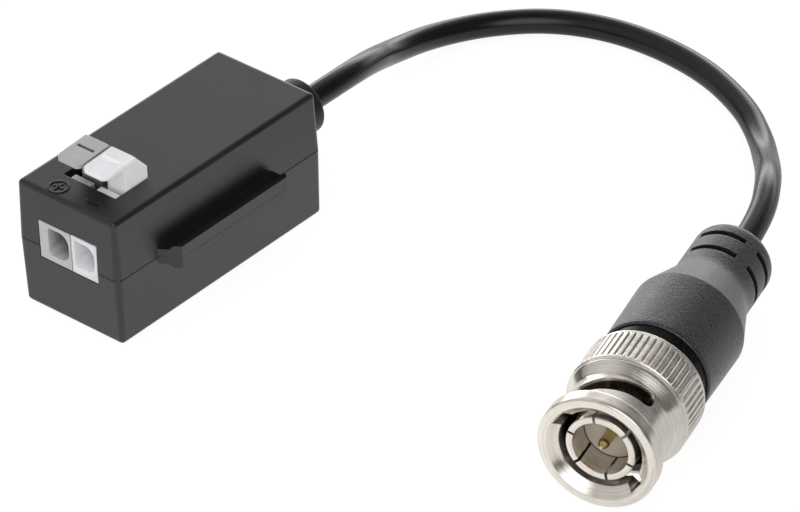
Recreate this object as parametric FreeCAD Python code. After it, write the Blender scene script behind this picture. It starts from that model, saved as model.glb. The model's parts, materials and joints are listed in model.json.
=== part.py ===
import FreeCAD, Part
import math
import os
from FreeCAD import Vector

os.makedirs("parts", exist_ok=True)

# Video balun: a drafted two-shell housing with a two-pole lever terminal at its front, a cable
# that leaves at its back, and a bayonet coaxial plug on the cable's end. Lengths are in mm.
# The origin is the centre of the housing's flat base. The wires go in at the front, which faces -Y.

# Housing
case_width = 15.6
case_length = 34.5
case_wall = 1.3
draft_inset = 0.25
case_corner_radius = 0.8
case_edge_radius = 0.6
split_height = 8.95
lip_height = 0.8
lip_thickness = 0.5
parting_gap = 0.1

# Clearances
fit_gap = 0.1
pivot_gap = 0.05
bore_gap = 0.05
groove_gap = 0.15

# Stacking rail on the right side and the matching groove on the left side
rail_reach = 2.3
rail_lip_thickness = 0.85
rail_flare = 0.45
rail_neck_height = 2.0
rail_lip_height = 2.98
rail_front = -9.0
rail_length = 18.2
rail_lead_in = 1.5
groove_wall = 0.8

# Circuit board and its posts
post_height = 3.3
post_radius = 0.9
peg_radius = 0.5
board_thickness = 1.2
board_margin = 0.3
board_front_gap = 0.65
board_rear_gap = 2.55
post_inset = 1.2

# Lever terminal, two poles side by side
pole_pitch = 4.0
pole_width = 3.9
pole_side_wall = 0.45
end_wall = 1.0
terminal_height = 9.5
terminal_depth = 8.9
terminal_front_block = 3.75
terminal_rear_wall = 0.5
terminal_floor = 2.3
nose_lift = 1.7
nose_height = 5.0
nose_recess = 0.05
wire_share_of_nose = 0.533
funnel_width = 3.2
funnel_height = 3.7
funnel_depth = 3.0
funnel_small_corner = 0.4
funnel_large_corner = 1.4
throat_radius = 1.25
strip_depth = 0.8
strip_width = 2.9
left_recess = 1.1

# Levers
lever_web_width = 2.8
lever_plate_width = 3.6
lever_plate_length = 5.2
lever_plate_thickness = 0.5
lever_plate_rise = 0.27
lever_height = 3.75
lever_reach = 6.4
lever_nose_radius = 0.9
lever_shoulder = 1.5
heel_radius = 0.95
pivot_drop = 1.1
pivot_radius = 0.6
web_front_gap = 0.9
lever_push_deg = 15.0
push_gap = 0.2
grip_groove_width = 0.45
grip_groove_depth = 0.4
grip_groove_setback = 3.0

# Spring strips and contacts in the terminal
strip_thickness = 0.25
strip_loop_height = 1.55
spring_width = 2.4
cage_window_width = 1.6
cage_bar = 0.45
contact_thickness = 0.4
contact_width = 2.0
pin_width = 0.8
pin_below_board = 1.2

# Parts on the board
core_radius = 3.2
core_hole_radius = 1.6
core_height = 3.2
core_edge = 0.3
turn_width = 0.35
turn_gap = 0.05
turns_per_winding = 6
turn_spacing_deg = 25.0
suppressor_size = (3.6, 4.6, 2.3)
suppressor_tab = (2.0, 0.25)
capacitor_size = (1.6, 3.2, 1.2)
resistor_size = (1.6, 3.2, 0.6)
chip_edge = 0.15
parts_gap = 0.6

# Cable
cable_radius = 1.55
dielectric_radius = 0.95
core_wire_radius = 0.25
jacket_inner_length = 2.95
stripped_length = 1.6
solder_reach = 1.4
braid_reach = (1.4, 0.6)

# Strain relief at the housing
relief_flange_radius = 3.9
relief_flange_length = 1.95
relief_neck_radius = 2.75
relief_root_radius = 3.65
relief_end_radius = 3.5
relief_tip_radius = 2.0
relief_length = 6.05
relief_tip_length = 0.55

# Plug: coupling nut, with distances along its axis from the front rim
plug_yaw_deg = 16.556
plug_x = 69.26
plug_y = -7.02
rim_radius = 7.1
rim_thickness = 2.0
rim_mouth_radius = 6.05
mouth_depth = 0.8
mouth_step = 0.35
neck_radius = 6.2
neck_end = 6.6
nut_bore_radius = 4.9
nut_step = 8.75
nut_length = 13.7
shoulder_length = 1.35
shoulder_band = 0.3
edge_step = 0.05
knurl_radius = 7.25
knurl_depth = 0.32
knurl_start = 8.55
knurl_end = 13.25
knurl_teeth = 56
knurl_land_share = 0.58
nut_wall = 1.15
bayonet_slot_width = 2.05
bayonet_entry_deg = 143.0
bayonet_lock_deg = 53.0
bayonet_entry_at = 3.0
bayonet_lock_at = 5.2
lug_groove_radius = 5.75
lug_groove_width = 2.2
nut_travel = 0.6

# Plug: what the nut turns on
sleeve_start = 0.97
sleeve_radius = 4.11
sleeve_bore_radius = 3.29
sleeve_slits = 6
slit_width = 0.35
slit_length = 3.9
slit_phase_deg = 40.0
body_flange_thickness = 1.0
hub_radius = 4.4
hub_end = 15.0
spigot_radius = 1.7
spigot_end = 20.5
insulator_start = 4.3
insulator_end = 12.0
insulator_collar_at = 2.6
centre_pin_radius = 0.65
centre_pin_start = 1.2
pin_tip_radius = 0.2
pin_tip_length = 0.75
pin_collar_radius = 0.9
gasket_thickness = 0.6
washer_thickness = 0.3
washer_pushed_rise = 0.25
washer_waves = 3
thrust_thickness = 0.45
ring_thickness = 0.5
ring_groove_depth = 0.4
ferrule_thickness = 0.45
ferrule_end = 22.5

# Plug: moulded boot
boot_start = 13.9
boot_ring_radius = 6.35
boot_ring_end = 16.1
boot_barrel_radius = 6.65
boot_crease_at = 25.95
boot_crease_radius = 6.82
boot_waist_at = 31.9
boot_waist_radius = 4.83
boot_waist_fillet = 6.0
boot_end = 40.9
boot_end_radius = 3.2
boot_end_length = 1.3
boot_slot_width = 0.8
boot_slot_depth = 0.9
boot_slot_places = (34.6, 37.6)
boot_webs = 4
boot_web_deg = 20.0
boot_web_phase_deg = 50.0

# Edges this small are cut flat on turned pieces, and larger ones are rounded
small_edge = 0.5

# Places that follow from the sizes above
half_width = case_width / 2
front = -case_length / 2
rear = case_length / 2
inner_side = half_width - case_wall
inner_front = front + case_wall
inner_rear = rear - case_wall
board_bottom = case_wall + post_height
board_top = board_bottom + board_thickness
terminal_top = board_top + terminal_height
roof = terminal_top + fit_gap
case_height = roof + case_wall

groove_face = -half_width + rail_reach + groove_gap + groove_wall
terminal_left = groove_face + 2 * fit_gap
grey_x = terminal_left + end_wall + pole_width / 2
white_x = grey_x + pole_pitch
terminal_right = white_x + pole_width / 2
terminal_front = inner_front + fit_gap
terminal_rear = terminal_front + terminal_depth
chamber_front = terminal_front + terminal_front_block
chamber_rear = terminal_rear - terminal_rear_wall
chamber_half = pole_width / 2 - pole_side_wall
chamber_floor = board_top + terminal_floor
nose_bottom = board_top + nose_lift
nose_top = nose_bottom + nose_height
wire_height = nose_bottom + wire_share_of_nose * nose_height

pivot_y = chamber_rear - fit_gap - heel_radius
pivot_z = terminal_top - pivot_drop
foot_z = pivot_z - heel_radius
web_rear = pivot_y + heel_radius
web_front = chamber_front + web_front_gap
lever_front = pivot_y - lever_reach
lever_plate_rear = lever_front + lever_plate_length
lever_top = case_height + lever_height
strip_top = case_height - pivot_gap
push = math.radians(lever_push_deg)
web_back_reach = pivot_y - web_front
web_up_reach = (strip_top - pivot_z + web_back_reach * math.sin(push)) / math.cos(push)
pushed_web_front = pivot_y - web_back_reach * math.cos(push) - web_up_reach * math.sin(push)
strip_rear = pushed_web_front - push_gap
strip_front = strip_rear - strip_depth

spring_top = foot_z - fit_gap
contact_top = spring_top - strip_loop_height
contact_bottom = contact_top - contact_thickness
contact_rear = chamber_rear - 2 * fit_gap
contact_leg_front = contact_rear - contact_thickness

board_left = terminal_left
board_right = inner_side - board_margin
board_front = terminal_front + board_front_gap
board_rear = inner_rear - board_rear_gap
post_places = [
    (x, y)
    for x in (board_left + post_radius + fit_gap, board_right - post_radius - fit_gap)
    for y in (board_front + post_inset, board_rear - post_inset)
]

core_x = (board_left + board_right) / 2
core_base = board_top + 2 * turn_gap + turn_width
core_y = terminal_rear + 4 * fit_gap + core_radius + turn_gap + turn_width
parts_front = core_y + core_radius + turn_gap + turn_width + parts_gap
parts_y = parts_front + suppressor_tab[1] + suppressor_size[1] / 2
part_pitch = (suppressor_size[0] + capacitor_size[0]) / 2 + parts_gap
jacket_start = inner_rear - jacket_inner_length
relief_end = rear + relief_length

cavity_radius = knurl_radius - nut_wall
nut_inner_radius = cavity_radius - groove_gap
flange_front = nut_step + fit_gap
flange_rear = flange_front + body_flange_thickness
washer_height = washer_thickness + washer_pushed_rise + nut_travel
thrust_front = flange_rear + 2 * fit_gap + washer_height
ring_front = thrust_front + thrust_thickness + fit_gap
spigot_bore = dielectric_radius + bore_gap
ferrule_start = hub_end + 2 * fit_gap
jacket_in_plug = spigot_end + 2 * fit_gap

# The free cable's route, from the strain relief's tip to the boot's end. It leaves level, comes
# down to the table, lies along it in a wide arc and rises to the plug.
cable_route = [
    (0.0, 23.3, 8.95),
    (0.0, 29.9, 8.95),
    (-1.7, 36.5, 7.2),
    (-4.1, 42.7, 4.3),
    (-4.6, 50.6, 2.4),
    (-1.6, 58.1, 1.6),
    (4.5, 63.8, 1.6),
    (13.4, 66.8, 1.6),
    (24.6, 66.4, 1.6),
    (34.0, 62.9, 1.6),
    (39.8, 58.8, 1.6),
    (44.6, 53.9, 2.9),
    (50.9, 46.5, 6.9),
    (55.526, 39.182, 7.25),
    (57.606, 32.185, 7.25),
]


def box(x, y, z):
    """A block between the low and high values of each direction."""
    size = [high - low for low, high in (x, y, z)]
    return Part.makeBox(size[0], size[1], size[2], Vector(x[0], y[0], z[0]))


def filleted_wire(points, radii, closed=True):
    """Straight runs between the points, each corner rounded by a tangent arc of its own radius."""
    count = len(points)
    edges = []
    starts = []
    ends = []
    for i, point in enumerate(points):
        is_end = not closed and i in (0, count - 1)
        if is_end or radii[i] <= 0:
            starts.append(point)
            ends.append(point)
            edges.append(None)
            continue
        back = (points[i - 1] - point).normalize()
        ahead = (points[(i + 1) % count] - point).normalize()
        turn = math.pi - back.getAngle(ahead)
        cut = radii[i] * math.tan(turn / 2)
        inward = (back + ahead).normalize()
        sag = radii[i] / math.cos(turn / 2) - radii[i]
        starts.append(point + back * cut)
        ends.append(point + ahead * cut)
        edges.append(Part.Arc(starts[i], point + inward * sag, ends[i]).toShape())
    path = []
    for i in range(count):
        if edges[i] is not None:
            path.append(edges[i])
        following = (i + 1) % count
        if (closed or i < count - 1) and (starts[following] - ends[i]).Length > 1e-6:
            path.append(Part.LineSegment(ends[i], starts[following]).toShape())
    return Part.Wire(path)


def rounded_rectangle(x, y, z, radius):
    """A level rectangle with rounded corners, at height z."""
    corners = [(x[0], y[0]), (x[1], y[0]), (x[1], y[1]), (x[0], y[1])]
    return filleted_wire([Vector(a, b, z) for a, b in corners], [radius] * 4)


def side_profile(points, x):
    """A closed (y, z, fillet) outline, drawn across the housing and given its width along X."""
    wire = filleted_wire([Vector(x[0], p[0], p[1]) for p in points], [p[2] for p in points])
    return Part.Face(wire).extrude(Vector(x[1] - x[0], 0, 0))


def turned(points):
    """A solid of revolution about Y from a closed (radius, place, edge) outline. A small edge is
    cut flat and a larger one is rounded."""
    corners = []
    fillets = []
    count = len(points)
    for i, (radius, place, edge) in enumerate(points):
        corner = Vector(radius, place, 0)
        if edge == 0 or edge >= small_edge:
            corners.append(corner)
            fillets.append(edge)
            continue
        for beside in (points[i - 1], points[(i + 1) % count]):
            toward = (Vector(beside[0], beside[1], 0) - corner).normalize()
            corners.append(corner + toward * edge)
            fillets.append(0)
    wire = filleted_wire(corners, fillets)
    return Part.Face(wire).revolve(Vector(0, 0, 0), Vector(0, 1, 0), 360)


def sharp(points):
    """Adds a zero fillet to each point of an outline."""
    return [(a, b, 0) for a, b in points]


def ring(inner, outer, low, high):
    """A plain ring about Y."""
    return turned(sharp([(inner, low), (outer, low), (outer, high), (inner, high)]))


def rod(start, end, radius):
    """A round bar between two points."""
    along = end - start
    return Part.makeCylinder(radius, along.Length, start, along)


def swept_round(points, radii, radius):
    """A round bar along straight runs and tangent arcs."""
    path = filleted_wire(points, radii, closed=False)
    first = (points[1] - points[0]).normalize()
    section = Part.Face(Part.Wire(Part.Circle(points[0], first, radius).toShape()))
    return path.makePipe(section), path.Length


def around_axis(shape, degrees):
    """Turns a copy about the plug's axis, from its X side towards +Z."""
    copy = shape.copy()
    copy.rotate(Vector(0, 0, 0), Vector(0, 1, 0), -degrees)
    return copy


def on_plug(shape):
    """Puts a shape drawn about the Y axis where the plug lies, on its knurl."""
    copy = shape.copy()
    copy.rotate(Vector(0, 0, 0), Vector(0, 0, 1), plug_yaw_deg)
    copy.translate(Vector(plug_x, plug_y, knurl_radius))
    return copy


def save(name, shape):
    """Writes one piece and prints its volume."""
    solid = shape.removeSplitter() if len(shape.Solids) == 1 else shape
    if not solid.isValid():
        print("not valid:", name)
    solid.exportStep("parts/" + name + ".step")
    print(name, "solids", len(solid.Solids), "volume", round(solid.Volume, 2))


def outer_block():
    """The housing's outside: widest at the parting line, drafted to its top and to its base."""
    halves = []
    for height in (0.0, case_height):
        wide = rounded_rectangle((-half_width, half_width), (front, rear), split_height,
                                 case_corner_radius)
        inset = draft_inset
        narrow = rounded_rectangle((-half_width + inset, half_width - inset),
                                   (front + inset, rear - inset), height,
                                   case_corner_radius - inset)
        half = Part.makeLoft([wide, narrow], True, True)
        rim = [e for e in half.Edges if all(abs(v.Z - height) < 1e-6 for v in e.Vertexes)]
        halves.append(half.makeFillet(case_edge_radius, rim))
    return halves


def rail_profile(gap, reach):
    """Half-open section of the rail, neck and flared lip, grown by a gap for the groove."""
    neck = rail_neck_height / 2 + gap
    lip = rail_lip_height / 2 + gap
    flare_end = rail_reach - rail_lip_thickness - gap
    flare_start = flare_end - rail_flare
    half = [(-0.6, neck), (flare_start, neck), (flare_end, lip), (reach, lip)]
    return half + [(x, -z) for x, z in reversed(half)]


def rail_prism(gap, reach, side, y):
    """The rail's section along Y, standing out to the right or cut into the left side."""
    points = [Vector(side * half_width + x, y[0], split_height + z)
              for x, z in rail_profile(gap, reach)]
    return Part.Face(Part.makePolygon(points + points[:1])).extrude(Vector(0, y[1] - y[0], 0))


def stacking_rail():
    """A flared rail with a slanted lead-in at the front and a nipped corner at the back."""
    back = rail_front + rail_length
    nip = rail_reach - rail_lip_thickness / 2
    plan = [(-0.6, rail_front - rail_lead_in - 0.4), (0, rail_front - rail_lead_in),
            (rail_reach, rail_front), (rail_reach, back - 0.4), (nip, back), (-0.6, back)]
    points = [Vector(half_width + x, y, 0) for x, y in plan]
    outline = Part.Face(Part.makePolygon(points + points[:1])).extrude(Vector(0, 0, case_height))
    span = (rail_front - 3 * rail_lead_in, back + rail_lead_in)
    return rail_prism(0, rail_reach, 1, span).common(outline)


def shell_blanks():
    """Both shells before they are opened: outside, cavity, rail, groove, window and mouths."""
    lower_block, upper_block = outer_block()
    cavity = box((-inner_side, inner_side), (inner_front, inner_rear), (case_wall, roof))
    groove_front = rail_front - rail_lead_in - groove_gap
    backing = box((-half_width + case_wall / 2, groove_face),
                  (groove_front - groove_wall, rear - case_wall / 2),
                  (split_height - rail_lip_height / 2 - groove_gap - groove_wall,
                   split_height + rail_lip_height / 2 + groove_gap + groove_wall))
    groove = rail_prism(groove_gap, rail_reach + groove_gap, -1, (groove_front, rear + 1))
    window = box((terminal_left - fit_gap, terminal_right + fit_gap),
                 (front - 1, inner_front + 0.01),
                 (nose_bottom - fit_gap, nose_top + fit_gap))
    cable_mouth = rod(Vector(0, inner_rear - 1, split_height), Vector(0, rear + 1, split_height),
                      relief_neck_radius + fit_gap)
    rail = stacking_rail()
    shells = []
    for block, low, high in ((lower_block, -1, split_height),
                             (upper_block, split_height, case_height + 1)):
        slab = box((-40, 40), (-60, 60), (low, high))
        shell = block.cut(cavity).fuse(backing.common(slab)).fuse(rail.common(slab))
        shells.append(shell.cut(groove).cut(window).cut(cable_mouth).cut(parting_line()))
    return shells


def parting_line():
    """A thin slot round the outside where the shells meet, left out where the rail stands."""
    slot = box((-half_width - 1, half_width + 1), (front - 1, rear + 1),
               (split_height - parting_gap / 2, split_height + parting_gap / 2))
    kept = box((-half_width + parting_gap, half_width - parting_gap),
               (front + parting_gap, rear - parting_gap), (0, case_height))
    beside_rail = box((0, half_width + rail_reach + 1),
                      (rail_front - rail_lead_in - 0.4, rail_front + rail_length), (0, case_height))
    return slot.cut(kept).cut(beside_rail)


def lip_band(gap):
    """The band inside the wall where the lower shell's lip stands, with or without its gap."""
    reach = lip_thickness + gap
    band = box((-inner_side - reach, inner_side + reach),
               (inner_front - reach, inner_rear + reach),
               (split_height - 0.5 + 5 * gap, split_height + lip_height + gap))
    inside = box((-inner_side, inner_side), (inner_front, inner_rear), (0, case_height))
    groove_side = box((-half_width, groove_face + fit_gap),
                      (rail_front - rail_lead_in - 1.5, rear), (0, case_height))
    window_side = box((terminal_left - 4 * fit_gap, terminal_right + 4 * fit_gap),
                      (front, inner_front + 1), (0, case_height))
    mouth_side = rod(Vector(0, inner_rear - 1, split_height), Vector(0, rear, split_height),
                     relief_neck_radius + 4 * fit_gap)
    band = band.cut(inside)
    if gap > 0:
        return band
    return band.cut(groove_side).cut(window_side).cut(mouth_side)


def lower_shell(blank):
    """The tray: walls, board posts with pegs, and the lip that locates the cover."""
    shell = blank.fuse(lip_band(0))
    for x, y in post_places:
        shell = shell.fuse(rod(Vector(x, y, case_wall - 0.2), Vector(x, y, board_bottom),
                               post_radius))
        shell = shell.fuse(rod(Vector(x, y, case_wall), Vector(x, y, board_top - fit_gap),
                               peg_radius))
    return shell


def upper_shell(blank):
    """The cover: the terminal's opening in its top and two posts that hold the board down."""
    opening = box((grey_x - strip_width / 2 - left_recess, white_x + strip_width / 2 + fit_gap),
                  (strip_front - fit_gap, chamber_rear + pivot_gap), (roof - 1, case_height + 1))
    shell = blank.cut(lip_band(fit_gap)).cut(opening)
    for x, y in post_places:
        if y > 0:
            shell = shell.fuse(rod(Vector(x, y, board_top), Vector(x, y, roof + 0.2),
                                   post_radius))
    return shell


def wire_way(x, y, half_w, half_h, left, right):
    """An outline across the wire's way, with a corner radius for each side."""
    corners = [(-half_w, -half_h), (half_w, -half_h), (half_w, half_h), (-half_w, half_h)]
    points = [Vector(x + a, y, wire_height + b) for a, b in corners]
    return filleted_wire(points, [left, right, right, left])


def terminal_body(x, has_end_wall):
    """One pole: a block with a nose in the window, a wire funnel and a chamber open to the top."""
    half = pole_width / 2
    side = (x - half, x + half)
    nose_front = front + nose_recess
    block = box(side, (terminal_front, terminal_rear), (board_top, terminal_top))
    block = block.fuse(box(side, (nose_front, terminal_front), (nose_bottom, nose_top)))
    if has_end_wall:
        outer = (x - half - end_wall, x - half)
        block = block.fuse(box(outer, (terminal_front, terminal_rear), (board_top, nose_top)))
        block = block.fuse(box(outer, (nose_front, terminal_front), (nose_bottom, nose_top)))
    block = block.fuse(box((x - strip_width / 2, x + strip_width / 2),
                           (strip_front, strip_rear), (terminal_top, strip_top)))
    chamber = box((x - chamber_half, x + chamber_half), (chamber_front, chamber_rear),
                  (chamber_floor, case_height + 1))
    mouth = wire_way(x, nose_front - 0.01, funnel_width / 2, funnel_height / 2,
                     funnel_small_corner, funnel_large_corner)
    throat = wire_way(x, nose_front + funnel_depth, throat_radius, throat_radius,
                      0.98 * throat_radius, 0.98 * throat_radius)
    funnel = Part.makeLoft([mouth, throat], True, True)
    passage = rod(Vector(x, nose_front + funnel_depth - 0.01, wire_height),
                  Vector(x, chamber_front + 0.5, wire_height), throat_radius)
    pin_slot = box((x - pin_width / 2 - fit_gap, x + pin_width / 2 + fit_gap),
                   (contact_leg_front - fit_gap, contact_rear + fit_gap),
                   (board_top - 1, chamber_floor + 0.1))
    pivot_hole = rod(Vector(x - half - 0.1, pivot_y, pivot_z),
                     Vector(x + half + 0.1, pivot_y, pivot_z), pivot_radius + pivot_gap)
    return block.cut(chamber).cut(funnel).cut(passage).cut(pin_slot).cut(pivot_hole)


def lever(x):
    """A push lever: sloped web with a round heel, thumb plate in front, and two trunnions."""
    plate_bottom = lever_top - lever_plate_thickness
    shoulder_z = case_height + lever_shoulder
    web = side_profile([
        (web_front, plate_bottom + 0.1, 0), (web_front, foot_z, 0.3), (pivot_y, foot_z, 0),
        (pivot_y, pivot_z, 0), (web_rear, pivot_z, 0), (web_rear, shoulder_z, 0.2),
        (lever_plate_rear, lever_top + lever_plate_rise, 0.15),
        (web_front, lever_top, 0),
    ], (x - lever_web_width / 2, x + lever_web_width / 2))
    heel = rod(Vector(x - lever_web_width / 2, pivot_y, pivot_z),
               Vector(x + lever_web_width / 2, pivot_y, pivot_z), heel_radius)
    half = lever_plate_width / 2
    corners = [(x - half, lever_front), (x + half, lever_front),
               (x + half, lever_plate_rear + 0.5), (x - half, lever_plate_rear + 0.5)]
    plan = filleted_wire([Vector(a, b, plate_bottom - 1) for a, b in corners],
                         [lever_nose_radius, lever_nose_radius, 0, 0])
    outline = Part.Face(plan).extrude(Vector(0, 0, 4))
    plate = side_profile([
        (lever_front, plate_bottom, 0.15), (lever_plate_rear + 0.3, plate_bottom, 0),
        (lever_plate_rear, lever_top + lever_plate_rise, 0.15), (lever_front, lever_top, 0.2),
    ], (x - half - 1, x + half + 1)).common(outline)
    groove_y = lever_front + grip_groove_setback
    grip = box((x - half + 0.5, x + half - 0.5), (groove_y, groove_y + grip_groove_width),
               (lever_top + 0.15 - grip_groove_depth, lever_top + 2))
    trunnions = rod(Vector(x - pole_width / 2 + fit_gap, pivot_y, pivot_z),
                    Vector(x + pole_width / 2 - fit_gap, pivot_y, pivot_z), pivot_radius)
    return web.fuse(heel).fuse(plate).fuse(trunnions).cut(grip)


def clamp_spring(x):
    """A bent strip: lower leg on the contact, loop at the back, and a cage leg at the front."""
    t = strip_thickness
    middle = (contact_top + spring_top) / 2
    outer = (spring_top - contact_top) / 2
    loop_y = contact_leg_front - fit_gap - outer
    cage_front = chamber_front + 3 * fit_gap
    cage_bottom = chamber_floor + 4 * fit_gap
    side = (x - spring_width / 2, x + spring_width / 2)
    loop = rod(Vector(side[0], loop_y, middle), Vector(side[1], loop_y, middle), outer)
    loop = loop.cut(rod(Vector(side[0], loop_y, middle), Vector(side[1], loop_y, middle),
                        outer - t))
    loop = loop.cut(box(side, (loop_y - outer, loop_y), (middle - outer, middle + outer)))
    lower_leg = box(side, (loop_y - 1.9, loop_y), (contact_top, contact_top + t))
    upper = side_profile([
        (loop_y, spring_top, 0), (cage_front, spring_top, 0.4), (cage_front, cage_bottom, 0),
        (cage_front + t, cage_bottom, 0), (cage_front + t, spring_top - t, 0.15),
        (loop_y, spring_top - t, 0),
    ], side)
    window = box((x - cage_window_width / 2, x + cage_window_width / 2),
                 (cage_front - 1, cage_front + 0.5),
                 (cage_bottom + cage_bar, contact_bottom - fit_gap))
    return upper.fuse(loop).fuse(lower_leg).cut(window)


def contact(x):
    """An inverted L: a plate that the wire is pulled against, and a leg down to the board."""
    plate_front = chamber_front + 3 * fit_gap + strip_thickness + 2 * fit_gap
    side = (x - contact_width / 2, x + contact_width / 2)
    bent = side_profile([
        (plate_front, contact_bottom, 0), (plate_front, contact_top, 0),
        (contact_rear, contact_top, 0.3), (contact_rear, chamber_floor + fit_gap, 0),
        (contact_leg_front, chamber_floor + fit_gap, 0), (contact_leg_front, contact_bottom, 0.1),
    ], side)
    pin = box((x - pin_width / 2, x + pin_width / 2), (contact_leg_front, contact_rear),
              (board_bottom - pin_below_board, chamber_floor + 0.3))
    return bent.fuse(pin)


def circuit_board():
    """The board, with holes for the pegs and for the contacts' pins."""
    board = box((board_left, board_right), (board_front, board_rear), (board_bottom, board_top))
    holes = [(x, y, peg_radius + fit_gap) for x, y in post_places]
    pin_y = (contact_leg_front + contact_rear) / 2
    hole_radius = math.hypot(pin_width, contact_thickness) / 2 + fit_gap
    holes += [(x, pin_y, hole_radius) for x in (grey_x, white_x)]
    for x, y, radius in holes:
        board = board.cut(rod(Vector(x, y, board_bottom - 1), Vector(x, y, board_top + 1), radius))
    return board


def toroid():
    """The ferrite ring with rounded edges, standing on its windings."""
    core = Part.makeCylinder(core_radius, core_height).cut(
        Part.makeCylinder(core_hole_radius, core_height))
    circles = [e for e in core.Edges if isinstance(e.Curve, Part.Circle)]
    core = core.makeChamfer(core_edge, circles)
    core.translate(Vector(core_x, core_y, core_base))
    return core


def winding(first_angle):
    """Square turns of wire round the ring's section, spaced along one half of the ring."""
    inner = (core_hole_radius - turn_gap, core_radius + turn_gap)
    outer = (inner[0] - turn_width, inner[1] + turn_width)
    base = -turn_gap
    top = core_height + turn_gap
    turns = []
    for i in range(turns_per_winding):
        turn = box(outer, (0, turn_width), (base - turn_width, top + turn_width))
        along = [e for e in turn.Edges if abs(e.tangentAt(e.FirstParameter).y) > 0.9]
        turn = turn.makeChamfer(0.6 * turn_width, along).cut(box(inner, (-1, 1), (base, top)))
        turn.translate(Vector(0, -turn_width / 2, 0))
        turn.rotate(Vector(0, 0, 0), Vector(0, 0, 1), first_angle + i * turn_spacing_deg)
        turn.translate(Vector(core_x, core_y, core_base))
        turns.append(turn)
    return Part.makeCompound(turns)


def chip(x, y, size):
    """A small block part with end caps, lying on the board."""
    half = (size[0] / 2, size[1] / 2)
    body = box((x - half[0], x + half[0]), (y - half[1], y + half[1]),
               (board_top, board_top + size[2]))
    upright = [e for e in body.Edges if abs(e.tangentAt(e.FirstParameter).z) > 0.9]
    return body.makeChamfer(chip_edge, upright)


def surge_suppressor(x, y):
    """A moulded block with a bent tab at each end."""
    wide, long, tall = suppressor_size
    tab_width, tab_thickness = suppressor_tab
    body = box((x - wide / 2, x + wide / 2), (y - long / 2, y + long / 2),
               (board_top + fit_gap, board_top + tall))
    rim = [e for e in body.Edges if all(v.Z > board_top + tall - 0.01 for v in e.Vertexes)]
    body = body.makeChamfer(2 * chip_edge, rim)
    tabs = box((x - tab_width / 2, x + tab_width / 2),
               (y - long / 2 - tab_thickness, y + long / 2 + tab_thickness),
               (board_top, board_top + tall / 2))
    return body.fuse(tabs)


def strain_relief():
    """A rubber bush: flange inside the wall, neck through it, and a tapered sleeve outside."""
    inner = cable_radius + bore_gap
    neck_start = inner_rear - fit_gap
    neck_end = rear + fit_gap
    flange_start = neck_start - relief_flange_length
    bush = turned([
        (inner, flange_start, 0), (relief_flange_radius, flange_start, 0.3),
        (relief_flange_radius, neck_start, 0.2), (relief_neck_radius, neck_start, 0),
        (relief_neck_radius, neck_end, 0), (relief_root_radius, neck_end, 0.2),
        (relief_end_radius, relief_end - relief_tip_length, 0.25),
        (relief_tip_radius, relief_end, 0.1),
        (inner, relief_end, 0),
    ])
    bush.translate(Vector(0, 0, split_height))
    return bush


def inner_cable_pieces():
    """What the jacket holds inside the housing: jacket end, dielectric, core wire and braid."""
    axis = split_height
    strip_end = jacket_start - stripped_length
    jacket = rod(Vector(0, jacket_start, axis), Vector(0, relief_end, axis), cable_radius)
    dielectric = rod(Vector(0, strip_end, axis), Vector(0, jacket_start, axis), dielectric_radius)
    dielectric = dielectric.cut(rod(Vector(0, strip_end, axis), Vector(0, jacket_start, axis),
                                    core_wire_radius + bore_gap))
    pad_y = strip_end - solder_reach
    core_points = [Vector(0, jacket_start, axis), Vector(0, pad_y, axis), Vector(0, pad_y, board_top)]
    core_wire, _ = swept_round(core_points, [0, 1.0, 0], core_wire_radius)
    side = dielectric_radius + core_wire_radius + bore_gap
    aside, back = braid_reach
    bend = Vector(side, strip_end + aside, axis)
    foot = Vector(side + aside, pad_y + back, board_top)
    lean = math.hypot(foot.x - bend.x, foot.y - bend.y) / (foot - bend).Length
    foot.z += core_wire_radius * lean
    braid = rod(Vector(side, jacket_start, axis), bend, core_wire_radius)
    braid = braid.fuse(rod(bend, foot, core_wire_radius))
    return {"cable_inner_end": jacket, "cable_inner_dielectric": dielectric,
            "cable_core_wire": core_wire, "cable_braid_tail": braid}


def cable():
    """The free cable as one tube; each arc is as large as the two runs beside it allow."""
    points = [Vector(*p) for p in cable_route]
    radii = [0.0]
    for before, here, after in zip(points, points[1:], points[2:]):
        turn = (here - before).getAngle(after - here)
        shorter = min((here - before).Length, (after - here).Length)
        radii.append(0.45 * shorter / math.tan(turn / 2))
    radii.append(0.0)
    tube, length = swept_round(points, radii, cable_radius)
    section = math.pi * cable_radius ** 2
    print("cable radii", [round(r, 1) for r in radii[1:-1]])
    print("cable length", round(length, 2), "volume ratio", round(tube.Volume / (section * length), 5))
    return tube


def knurl_band():
    """Straight serrations: flat lands with a V groove between each two."""
    pitch = 360.0 / knurl_teeth
    corners = []
    for i in range(knurl_teeth):
        for share, radius in ((0.0, knurl_radius), (knurl_land_share, knurl_radius),
                              ((1 + knurl_land_share) / 2, knurl_radius - knurl_depth)):
            angle = math.radians((i + share) * pitch)
            corners.append(Vector(radius * math.cos(angle), knurl_start, radius * math.sin(angle)))
    face = Part.Face(Part.makePolygon(corners + corners[:1]))
    band = face.extrude(Vector(0, knurl_end - knurl_start, 0))
    return band.cut(ring_bore(cavity_radius + 0.3, knurl_start - 1, knurl_end + 1))


def ring_bore(radius, low, high):
    """A plain cylinder about Y."""
    return rod(Vector(0, low, 0), Vector(0, high, 0), radius)


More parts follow.
